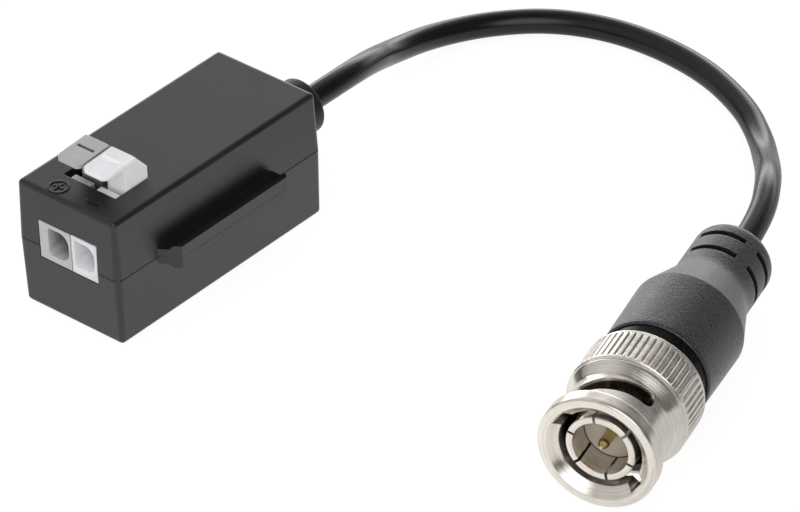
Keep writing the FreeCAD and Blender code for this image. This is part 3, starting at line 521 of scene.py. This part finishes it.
def finish_mesh(name, mesh, material, sharp_deg=35.0, merge=0.0):
    """An object from a mesh: merged poles, smooth shading and hard edges past an angle."""
    if merge > 0:
        welded = bmesh.new()
        welded.from_mesh(mesh)
        bmesh.ops.remove_doubles(welded, verts=welded.verts, dist=merge)
        bmesh.ops.dissolve_degenerate(welded, edges=welded.edges, dist=merge)
        welded.to_mesh(mesh)
        welded.free()
    mesh.shade_smooth()
    mesh.set_sharp_from_angle(angle=math.radians(sharp_deg))
    piece = bpy.data.objects.new(name, mesh)
    bpy.context.scene.collection.objects.link(piece)
    mesh.materials.append(material)
    return piece


def turned_mesh(name, outline, place, turns, ripple=None):
    """A closed (along, radius) outline turned about the Y axis: x = radius cos(angle),
    y = along, z = radius sin(angle). A ripple changes the radius by place and angle."""
    angle = np.arange(turns) * 2 * np.pi / turns
    along = np.repeat(outline[:, :1], turns, 1)
    radius = np.repeat(outline[:, 1:], turns, 1)
    if ripple is not None:
        radius = ripple(along, radius, angle[None, :])
    points = np.stack([radius * np.cos(angle), along, radius * np.sin(angle)], -1)
    closed = np.vstack([outline, outline[:1]])
    lengths = np.r_[0, np.cumsum(np.linalg.norm(np.diff(closed, axis=0), axis=1))] / MM
    return grid_mesh(name, place_on(place, points), True, True, (lengths, 2.0))


def block_mesh(name, low, high, place):
    """A block between two corners, in mm, as a ring of four sides closed at both ends."""
    x = np.array([low[0], high[0], high[0], low[0]]) * MM
    z = np.array([low[2], low[2], high[2], high[2]]) * MM
    rows = []
    for y, scale in ((low[1], 0), (low[1], 1), (high[1], 1), (high[1], 0)):
        rows.append(np.stack([x.mean() + (x - x.mean()) * scale, np.full(4, y * MM),
                              z.mean() + (z - z.mean()) * scale], -1))
    return grid_mesh(name, place_on(place, np.array(rows)), False, True)


def mesh_volume(mesh):
    """The volume inside a closed mesh."""
    shell = bmesh.new()
    shell.from_mesh(mesh)
    volume = shell.calc_volume(signed=False)
    shell.free()
    return volume


def cut_away(mesh, cutters):
    """The mesh with each cutter's volume taken out."""
    body = bpy.data.objects.new("being_cut", mesh)
    bpy.context.scene.collection.objects.link(body)
    helpers = []
    for number, cutter in enumerate(cutters):
        welded = bmesh.new()
        welded.from_mesh(cutter)
        bmesh.ops.remove_doubles(welded, verts=welded.verts, dist=1e-8)
        bmesh.ops.recalc_face_normals(welded, faces=welded.faces)
        welded.to_mesh(cutter)
        welded.free()
        helper = bpy.data.objects.new("cutter_%d" % number, cutter)
        bpy.context.scene.collection.objects.link(helper)
        helpers.append(helper)
        step = body.modifiers.new("cut_%d" % number, "BOOLEAN")
        step.operation = "DIFFERENCE"
        step.solver = "EXACT"
        step.object = helper
    graph = bpy.context.evaluated_depsgraph_get()
    result = bpy.data.meshes.new_from_object(body.evaluated_get(graph))
    if mesh_volume(result) < 0.8 * mesh_volume(mesh):
        raise RuntimeError("the cuts took too much of " + mesh.name)
    for helper in [body] + helpers:
        bpy.data.objects.remove(helper)
    return result


def dress(node, material):
    """Gives a CAD node its finish."""
    piece = frame["nodes"][node]
    piece.data.materials.clear()
    piece.data.materials.append(material)


def add_spring(name, node, material):
    """A spring: a copy of its CAD mesh with the loose triangles merged."""
    mesh = frame["nodes"][node].data.copy()
    mesh.materials.clear()
    piece = finish_mesh(name, mesh, material, merge=1e-7)
    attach(piece, "housing")
    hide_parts(node)
    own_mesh(piece)


def ring_bar_mesh(name, centre, radius, half_width, top, height):
    """A flat ring with a rectangular section, lying on the housing's top."""
    angle = np.arange(64) * 2 * np.pi / 64
    section = np.array([(radius - half_width, 0), (radius + half_width, 0),
                        (radius + half_width, height), (radius - half_width, height)])
    radii, rises = section[:, :1], section[:, 1:]
    points = np.stack([centre[0] + radii * np.cos(angle), centre[1] + radii * np.sin(angle),
                       top + rises + 0 * angle], -1)
    return grid_mesh(name, points, True, True)


class BALUN_OT_housing(bpy.types.Operator):
    """Finish the two shells and add the polarity marks on the top"""
    bl_idname = "balun.housing"
    bl_label = "Housing"

    def execute(self, context):
        looks = context.scene.balun_housing
        plastic = housing_plastic(looks)
        for node in ("upper_shell", "lower_shell"):
            dress(node, plastic)
        ink = moulded_plastic("mark_plastic", (0.004, 0.004, 0.004), 0.25)
        grey_x, white_x = ((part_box(lever)[0].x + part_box(lever)[1].x) / 2
                           for lever in ("grey_lever", "white_lever"))
        mark_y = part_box("grey_terminal_body")[0].y + 1.9 * MM
        arm = 0.62 * looks.mark_radius / MM
        bar, raised, long_bar = 0.13, 0.12, 0.9
        base = CASE_TOP - 0.02 * MM
        centre = (grey_x - 1.2 * MM, mark_y)
        marks = [("plus_mark_ring", ring_bar_mesh("plus_mark_ring", centre, looks.mark_radius,
                                                  bar * MM, base, raised * MM))]
        for name, place, reach_x, reach_y in (("plus_mark_across", centre, arm, bar),
                                              ("plus_mark_along", centre, bar, arm),
                                              ("minus_mark", (white_x, mark_y), long_bar, bar)):
            marks.append((name, block_mesh(name, (-reach_x, -reach_y, 0),
                                           (reach_x, reach_y, raised),
                                           Matrix.Translation((*place, base)))))
        for name, mesh in marks:
            piece = finish_mesh(name, mesh, ink, merge=1e-8)
            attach(piece, "housing")
        return {"FINISHED"}


class BALUN_OT_terminal(bpy.types.Operator):
    """Finish the terminal's bodies, levers, springs and contacts"""
    bl_idname = "balun.terminal"
    bl_label = "Terminal"

    def execute(self, context):
        looks = context.scene.balun_terminal
        steel = plated_metal("spring_strip", looks.spring, 0.25, lines=False)
        tin = plated_metal("tinned_contact", (0.74, 0.72, 0.68), 0.3, lines=False)
        # Each pole: the share of its colour painted into recesses (painted shade under 1, painted
        # light over 1), softness, the lever's own share
        for colour, painted_recess_share, soft, pale in (("grey", 0.12, 0.1, 0.82), ("white", 1.12, 0.5, 1.0)):
            shade = getattr(looks, colour)
            lever = moulded_plastic(colour + "_lever_plastic", [pale * c for c in shade], 0.4,
                                    painted_recess_share=1.5 * painted_recess_share, soft=soft)
            body = moulded_plastic(colour + "_body_plastic", shade, 0.35, painted_recess_share=painted_recess_share, soft=soft)
            dress(colour + "_lever", lever)
            dress(colour + "_terminal_body", body)
            add_spring(colour + "_spring_strip", colour + "_clamp_spring", steel)
            dress(colour + "_contact", tin)
        return {"FINISHED"}


class BALUN_OT_inside(bpy.types.Operator):
    """Finish the board and what is on it"""
    bl_idname = "balun.inside"
    bl_label = "Board and parts"

    def execute(self, context):
        black = moulded_plastic("black_component", (0.02, 0.02, 0.02), 0.45)
        copper = plated_metal("enamelled_copper", (0.66, 0.28, 0.12), 0.25, lines=False)
        white = moulded_plastic("cable_dielectric", (0.80, 0.80, 0.77), 0.4)
        jacket = jacket_plastic(context.scene.balun_cable)
        finishes = {
            "circuit_board": (board_laminate(), "board"),
            "ferrite_core": (sintered("ferrite", (0.03, 0.03, 0.032)), "ferrite"),
            "first_winding": (copper, "copper_wire"),
            "second_winding": (copper, "copper_wire"),
            "surge_suppressor": (black, "component_body"),
            "resistor": (black, "component_body"),
            "capacitor": (sintered("capacitor_ceramic", (0.42, 0.30, 0.18)), "ceramic"),
            "cable_inner_end": (jacket, "cable_jacket"),
            "cable_plug_end": (jacket, "cable_jacket"),
            "cable_inner_dielectric": (white, "dielectric"),
            "plug_dielectric": (white, "dielectric"),
            "cable_core_wire": (copper, "copper_wire"),
            "cable_braid_tail": (copper, "copper_wire"),
        }
        for node, (material, slot) in finishes.items():
            dress(node, material)
        return {"FINISHED"}


class BALUN_OT_strain_relief(bpy.types.Operator):
    """Turn the tapered rubber bush at the housing's back"""
    bl_idname = "balun.strain_relief"
    bl_label = "Strain relief"

    def execute(self, context):
        looks = context.scene.balun_boot
        outline = refined(softened([
            (0, 1.6, 0), (0, 3.9, 0.3), (1.95, 3.9, 0.2), (1.95, 2.75, 0), (3.45, 2.75, 0),
            (3.45, 3.65, 0.25), (8.85, 3.5, 0.3), (9.4, 2.0, 0.12), (9.4, 1.6, 0),
        ]), 0.3)
        rubber = grained_rubber("relief_rubber", [0.6 * c for c in looks.colour], 0.3 * MM,
                                0.45, 0.02 * MM, 0.35)
        mesh = turned_mesh("strain_relief_skin", outline, RELIEF_PLACE, 96)
        piece = finish_mesh("strain_relief_skin", mesh, rubber)
        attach(piece, "housing")
        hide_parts("strain_relief")
        return {"FINISHED"}


class BALUN_OT_coupling_nut(bpy.types.Operator):
    """Turn the bayonet nut, knurl it and cut its slots"""
    bl_idname = "balun.coupling_nut"
    bl_label = "Coupling nut"

    def execute(self, context):
        looks = context.scene.balun_plug
        knurl_start, knurl_end, run_out = 8.55, 13.25, 0.3
        valley, half_valley = 0.79, 0.21
        lug_low, lug_high = (4.2, -1, -1.1), (5.75, 2.9, 1.1)
        outline = softened([
            (0, 6.05, 0.08), (0, 7.1, 0.32), (2.0, 7.1, 0.22), (2.0, 6.2, 0.2),
            (6.55, 6.2, 0.9), (7.8, 7.0, 0.75), (8.0, 7.07, 0.04), (8.12, 7.07, 0.04),
            (8.16, 6.96, 0.03), (8.24, 6.96, 0.03), (8.3, 7.12, 0.04), (8.42, 7.12, 0.04),
            (knurl_start, 7.25, 0.08), (knurl_start + 0.3, 7.25, 0), (knurl_end - 0.35, 7.25, 0),
            (knurl_end - 0.05, 7.25, 0), (knurl_end, 7.25, 0.03), (knurl_end + 0.05, 7.19, 0.03),
            (13.7, 7.25, 0.16), (13.7, 6.1, 0.08), (12.25, 6.1, 0),
            (12.25, 6.5, 0), (11.65, 6.5, 0), (11.65, 6.1, 0), (8.75, 6.1, 0.1), (8.75, 4.9, 0.1),
            (1.05, 4.9, 0.25), (0.8, 5.25, 0.35),
        ])
        outline = refined(outline, 0.45)
        teeth = looks.knurl_teeth

        def serrate(along, radius, angle):
            """Each serration is a V: its depth falls linearly from its middle over 0.21 of the
            pitch to both sides, and it runs out over 0.3 mm at the knurl's two ends."""
            phase = np.abs((angle * teeth / (2 * np.pi)) % 1.0 - valley)
            depth = np.clip(1 - phase / half_valley, 0, 1) * looks.knurl_depth
            near = np.clip((along / MM - knurl_start) / run_out, 0, 1)
            far = np.clip((knurl_end - 0.05 - along / MM) / run_out, 0, 1)
            outside = radius > 7.0 * MM
            return radius - depth * near * far * outside

        mesh = turned_mesh("nut_body", outline, PLUG_PLACE, teeth * 8, serrate)
        half_turns = (0.0, math.pi)
        turns = [PLUG_PLACE @ Matrix.Rotation(-(math.radians(LUG_ANGLE) + half_turn), 4, "Y")
                 for half_turn in half_turns]
        cutters = [block_mesh("lug_way", lug_low, lug_high, turn) for turn in turns]
        cutters += [self.slot_cutter(looks, half_turn) for half_turn in half_turns]
        mesh = cut_away(mesh, cutters)
        # Painted shade in the nut's bore
        nickel = plated_metal("nut_nickel", looks.nickel, 0.21, painted_bore_shade=(6.05 * MM, 1.3 * MM))
        piece = finish_mesh("bayonet_nut", mesh, nickel, 30.0)
        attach(piece, "nut")
        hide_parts("coupling_nut")
        return {"FINISHED"}

    def slot_cutter(self, looks, half_turn):
        """The slot's middle climbs from 3.13 to 5.4 mm as its angle falls from 143 to 53 degrees:
        climb = 1 - (1 - share) ** 1.6. Its half width is w sqrt(1 - (d / w) squared) where it is
        less than w = half the slot from an end."""
        start, climb, sweep, neck_radius = 3.13, 2.27, 90.0, 6.2
        half = looks.slot_width / 2 / MM
        reach = math.degrees(half / neck_radius)
        fine = np.linspace(-1, 0, 9)[:-1]
        end = reach / sweep
        share = np.r_[fine * end, np.linspace(0, 1, 41), 1 - fine[::-1] * end]
        inner = np.clip(share, 0, 1)
        middle = start + (1 - (1 - inner) ** 1.6) * climb
        past = np.abs(share - inner) / end
        width = half * np.sqrt(np.clip(1 - past ** 2, 0, 1))
        angle = np.radians(LUG_ANGLE - sweep * share) + half_turn
        bore_side, far_side = 4.4, 7.0
        radius = np.array([bore_side, far_side, far_side, bore_side])
        side = np.array([-1, -1, 1, 1])
        along = middle[:, None] + width[:, None] * side[None]
        points = np.stack([radius * np.cos(angle)[:, None], along + 0 * radius,
                           radius * np.sin(angle)[:, None]], -1) * MM
        return grid_mesh("slot", place_on(PLUG_PLACE, points), False, True)


class BALUN_OT_plug_body(bpy.types.Operator):
    """Turn the slit sleeve and finish the pin, the insulator and the hidden rings"""
    bl_idname = "balun.plug_body"
    bl_label = "Plug body"

    def execute(self, context):
        looks = context.scene.balun_plug
        outline = refined(softened([
            (0.97, 3.29, 0.1), (0.97, 4.11, 0.16), (2.3, 4.05, 0.3), (8.85, 4.11, 0),
            (8.85, 5.95, 0.05), (9.85, 5.95, 0.05), (9.85, 4.4, 0), (15.0, 4.4, 0.1),
            (15.0, 1.7, 0), (20.5, 1.7, 0), (20.5, 1.0, 0), (12.05, 1.0, 0), (12.05, 3.29, 0),
        ]), 0.4)
        mesh = turned_mesh("sleeve_body", outline, PLUG_PLACE, 216)
        first_slit, flange_back = 40.0, 9.9 * MM
        slit_low, slit_high = (2.6, 0.2, -0.16), (4.6, 4.87, 0.16)
        cutters = []
        for number in range(looks.slits):
            angle = math.radians(first_slit + number * 360.0 / looks.slits)
            turn = PLUG_PLACE @ Matrix.Rotation(-angle, 4, "Y")
            cutters.append(block_mesh("slit", slit_low, slit_high, turn))
        mesh = cut_away(mesh, cutters)
        # Painted shade in the sleeve's bore
        nickel = plated_metal("sleeve_nickel", looks.nickel, 0.22, painted_bore_shade=(3.4 * MM, 1.4 * MM))
        piece = finish_mesh("slit_sleeve", mesh, nickel, 30.0)
        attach(piece, "housing")
        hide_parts("plug_body")
        spring = plated_metal("ring_steel", STEEL, 0.25, lines=False)
        finishes = {
            "centre_pin": (plated_metal("pin_gold", looks.gold, 0.2, lines=False), "gold"),
            "plug_insulator": (moulded_plastic("insulator_plastic", looks.insulator, 0.35),
                               "dielectric"),
            "sealing_gasket": (grained_rubber("gasket_silicone", (0.03, 0.016, 0.012), 0.3 * MM),
                               "silicone"),
            "thrust_washer": (spring, "spring_steel"),
            "retaining_ring": (spring, "spring_steel"),
            "crimp_ferrule": (spring, "nickel"),
        }
        for node, (material, slot) in finishes.items():
            dress(node, material)
        # The wave spring rests on the body's flange, and the thrust washer presses it
        add_spring("wave_spring", "wave_washer", spring)
        return {"FINISHED"}


class BALUN_OT_plug_boot(bpy.types.Operator):
    """Turn the moulded boot and press its collar's slots"""
    bl_idname = "balun.plug_boot"
    bl_label = "Plug boot"

    def execute(self, context):
        looks = context.scene.balun_boot
        rows, slot_half = (34.6, 37.6), 0.395
        first_web, web_half = 50.0, 10.0
        ring_end = 16.12
        outline = softened([
            (13.9, 4.45, 0), (13.9, 6.35, 0.25), (16.1, 6.35, 0), (16.1, 6.65, 0.3),
            (25.95, 6.82, 0.5), (31.9, 4.83, 6.0), (34.19, 4.83, 0), (34.21, 4.83, 0),
            (34.99, 4.83, 0), (35.01, 4.83, 0), (37.19, 4.83, 0), (37.21, 4.83, 0),
            (37.99, 4.83, 0), (38.01, 4.83, 0), (39.6, 4.83, 1.3), (40.9, 3.2, 0.5),
            (40.9, 1.6, 0), (22.55, 1.6, 0), (22.55, 2.25, 0), (15.05, 2.25, 0), (15.05, 4.45, 0),
        ])
        outline = refined(outline, 0.5)
        webs = looks.webs

        def press_slots(along, radius, angle):
            """In each row the radius drops by the slot's depth, but not within 10 degrees of a
            web's middle."""
            phase = (np.degrees(angle) - first_web + 180.0 / webs) % (360.0 / webs) - 180.0 / webs
            open_here = np.abs(phase) > web_half
            depth = np.zeros_like(radius)
            for place in rows:
                depth += (np.abs(along - place * MM) < slot_half * MM) * looks.slot_depth
            outside = radius > 4.0 * MM
            return radius - depth * open_here * outside

        mesh = turned_mesh("boot_skin", outline, PLUG_PLACE, 288, press_slots)
        rubber = grained_rubber("boot_rubber", looks.colour, looks.grain)
        piece = finish_mesh("boot_skin", mesh, rubber)
        piece.data.materials.append(grained_rubber("boot_ring_plastic", (0.002, 0.002, 0.002),
                                                   0.5 * MM, 0.2, 0.002 * MM, 0.08))
        faces = piece.data.polygons
        centres = np.empty(len(faces) * 3, np.float32)
        faces.foreach_get("center", centres)
        along = place_on(PLUG_PLACE.inverted(), centres.reshape(-1, 3).astype(float))[:, 1]
        faces.foreach_set("material_index", (along < ring_end * MM).astype(np.int32))
        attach(piece, "housing")
        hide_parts("plug_boot")
        return {"FINISHED"}


class BALUN_OT_cable(bpy.types.Operator):
    """Lay the free cable from the strain relief to the boot"""
    bl_idname = "balun.cable"
    bl_label = "Cable"

    def execute(self, context):
        looks = context.scene.balun_cable
        curve = bpy.data.curves.new("free_cable", "CURVE")
        curve.dimensions = "3D"
        curve.bevel_depth = looks.diameter / 2
        curve.bevel_resolution = 8
        curve.use_fill_caps = True
        spline = curve.splines.new("NURBS")
        spline.points.add(len(CABLE_ROUTE) - 1)
        for point, place in zip(spline.points, CABLE_ROUTE):
            point.co = (*place, 1.0)
        spline.order_u = 3
        spline.use_endpoint_u = True
        spline.resolution_u = 14
        piece = bpy.data.objects.new("free_cable", curve)
        context.scene.collection.objects.link(piece)
        curve.materials.append(jacket_plastic(looks))
        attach(piece, "housing")
        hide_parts("cable")
        return {"FINISHED"}


class BALUN_OT_stage(bpy.types.Operator):
    """Lay the floor, hang the lights and set the camera"""
    bl_idname = "balun.stage"
    bl_label = "Stage"

    def execute(self, context):
        looks = context.scene.balun_stage
        if looks.show_floor:
            self.lay_floor(looks)
        self.light_world(context)
        self.hang_light("key_light", (-0.35, 0.15, 0.75), 0.7, looks.key_power)
        self.hang_light("fill_light", (0.65, -0.55, 0.45), 0.5, looks.fill_power)
        self.set_camera(context)
        return {"FINISHED"}

    def lay_floor(self, looks):
        """A flat sheet a hair under the base, so that the two never share a plane. The camera
        sees it white, and reflections see it paler behind the part and dimmer far off."""
        side = np.array([-0.5, 0.5]) * looks.floor_size
        x, y = np.meshgrid(side, side, indexing="ij")
        mesh = grid_mesh("floor", np.stack([x, y, 0 * x - 0.02 * MM], -1), False, False)
        seen_level, glow_share = 1.04, 0.88
        nodes = NodeTree("pale_floor")
        nodes.set(Base_Color=(0.86, 0.86, 0.86, 1), Roughness=1.0, Specular_IOR_Level=0.0)
        # Metres from the origin towards the back right
        across = nodes.vector("DOT_PRODUCT", object_point(nodes), (0.68, 0.74, 0.0))
        level = nodes.join(
            "MULTIPLY", nodes.stretch(across, -0.05, 0.05, looks.floor_front, looks.floor_back),
            nodes.stretch(across, 0.015, 0.07, 1.0, looks.floor_far, True))
        rays = nodes.add("ShaderNodeLightPath").outputs
        glow = nodes.add("ShaderNodeEmission", Color=(1, 1, 1, 1),
                         Strength=nodes.mix("FLOAT", rays["Is Camera Ray"], level, seen_level))
        seen = nodes.join("MAXIMUM", rays["Is Camera Ray"], rays["Is Glossy Ray"])
        seen = nodes.join("MAXIMUM", seen, rays["Is Transmission Ray"])
        both = nodes.add("ShaderNodeMixShader", Fac=nodes.join("MULTIPLY", seen, glow_share))
        nodes.feed(nodes.shader.outputs["BSDF"], both.inputs[1])
        nodes.feed(glow.outputs["Emission"], both.inputs[2])
        out = nodes.tree.nodes["Material Output"]
        nodes.feed(both.outputs["Shader"], out.inputs["Surface"])
        floor = finish_mesh("floor", mesh, nodes.owner)

    def light_world(self, context):
        """A pale surround, white to the camera. Reflections see five soft lights in it and a band
        low over the back left, and all else sees it paler on the camera's side."""
        nodes = NodeTree("pale_surround", "worlds", "Background")
        context.scene.world = nodes.owner
        glossy = 0.0
        # In turn for the housing's top, its front, what faces the camera, the boot and the knurl
        for light in (((-0.62, 0.60, 0.50), 0.60, 0.97, 0.0, 0.50),
                      ((-0.55, -0.65, 0.50), 0.55, 0.95, 0.12, 0.60),
                      ((0.555, -0.604, 0.572), 0.82, 0.99, 0.0, 1.9),
                      ((-0.46, 0.83, 0.31), 0.96, 0.995, 0.0, 1.9),
                      ((-0.84, 0.53, 0.12), 0.93, 0.985, 0.0, 1.1)):
            glossy = nodes.join("ADD", glossy, self.lobe(nodes, *light))
        band = self.lobe(nodes, (0, 0, 1), 0.02, 0.36, 2.2, 0.0)
        side = self.lobe(nodes, (-0.55, 0.83, 0), 0.55, 0.95, 0.0, 1.0)
        glossy = nodes.join("MULTIPLY_ADD", band, side, glossy)
        soft = self.lobe(nodes, (0.30, -0.45, 0.84), -0.6, 0.9, 0.55, 1.35)
        rays = nodes.add("ShaderNodeLightPath").outputs
        level = nodes.mix("FLOAT", rays["Is Glossy Ray"], soft, glossy)
        nodes.set(Color=(1, 1, 1, 1),
                  Strength=nodes.mix("FLOAT", rays["Is Camera Ray"], level, 1.0))

    def lobe(self, nodes, toward, edge, core, low, high):
        """A level over the sky: high around one direction and low away from it, going smoothly
        from one to the other as the cosine to that direction goes from edge to core."""
        place = nodes.add("ShaderNodeTexCoord").outputs["Generated"]
        facing = nodes.vector("DOT_PRODUCT", place, Vector(toward).normalized())
        return nodes.stretch(facing, edge, core, low, high, True)

    def hang_light(self, name, place, size, power):
        """A square soft light that looks at the part's middle. It shows in no reflection."""
        lamp = bpy.data.lights.new(name, "AREA")
        lamp.size = size
        lamp.energy = power
        holder = bpy.data.objects.new(name, lamp)
        bpy.context.scene.collection.objects.link(holder)
        holder.location = place
        middle = Vector((0.03, 0.01, 0.0))
        holder.rotation_euler = (middle - Vector(place)).to_track_quat("-Z", "Y").to_euler()
        holder.visible_glossy = False

    def set_camera(self, context):
        """The camera looks down at the part from its front right, with a little roll. Its back
        direction is (sin az cos el, -cos az cos el, sin el)."""
        target = Vector((25.434, 10.721, 4.860)) * MM
        azimuth, elevation, roll = (math.radians(a) for a in (42.573, 34.889, -2.691))
        distance = 718.29 * MM
        back = Vector((math.sin(azimuth) * math.cos(elevation),
                       -math.cos(azimuth) * math.cos(elevation), math.sin(elevation)))
        level = Vector((math.cos(azimuth), math.sin(azimuth), 0))
        rise = back.cross(level)
        right = math.cos(roll) * level + math.sin(roll) * rise
        up = math.cos(roll) * rise - math.sin(roll) * level
        lens = bpy.data.cameras.new("camera")
        lens.sensor_width = 36.0
        lens.lens = 282.817
        lens.clip_start = 0.05
        lens.clip_end = 20.0
        holder = bpy.data.objects.new("camera", lens)
        turn = Matrix((right, up, back)).transposed().to_4x4()
        holder.matrix_world = Matrix.Translation(target + back * distance) @ turn
        context.scene.collection.objects.link(holder)
        context.scene.camera = holder


class BALUN_PT_panel(bpy.types.Panel):
    """Lists the pieces and their looks"""
    bl_label = "Video balun"
    bl_idname = "BALUN_PT_panel"
    bl_space_type = "VIEW_3D"
    bl_region_type = "UI"
    bl_category = "Balun"

    def draw(self, context):
        for name in PIECES:
            self.layout.operator("balun." + name)
        for group in GROUPS:
            looks = getattr(context.scene, group)
            box = self.layout.box()
            for prop in looks.bl_rna.properties:
                if prop.identifier not in ("rna_type", "name"):
                    box.prop(looks, prop.identifier)


GROUPS = {
    "balun_housing": HousingLooks,
    "balun_terminal": TerminalLooks,
    "balun_plug": PlugLooks,
    "balun_boot": BootLooks,
    "balun_cable": CableLooks,
    "balun_stage": StageLooks,
}
PIECES = ("stage", "housing", "terminal", "inside", "strain_relief", "coupling_nut", "plug_body",
          "plug_boot", "cable")
OPERATORS = (BALUN_OT_stage, BALUN_OT_housing, BALUN_OT_terminal, BALUN_OT_inside,
             BALUN_OT_strain_relief, BALUN_OT_coupling_nut, BALUN_OT_plug_body,
             BALUN_OT_plug_boot, BALUN_OT_cable)


def register():
    """Adds the classes and hangs each group of looks on the scene."""
    for group in GROUPS.values():
        bpy.utils.register_class(group)
    for operator in OPERATORS:
        bpy.utils.register_class(operator)
    bpy.utils.register_class(BALUN_PT_panel)
    for name, group in GROUPS.items():
        setattr(bpy.types.Scene, name, PointerProperty(type=group))


def unregister():
    """Takes away all that register added."""
    for name in GROUPS:
        delattr(bpy.types.Scene, name)
    for added in (BALUN_PT_panel, *reversed(OPERATORS), *GROUPS.values()):
        bpy.utils.unregister_class(added)


def main():
    """Makes every piece in order."""
    register()
    scene = bpy.context.scene
    scene.view_settings.view_transform = "Standard"
    for name in PIECES:
        getattr(bpy.ops.balun, name)()


if __name__ == "__main__":
    main()
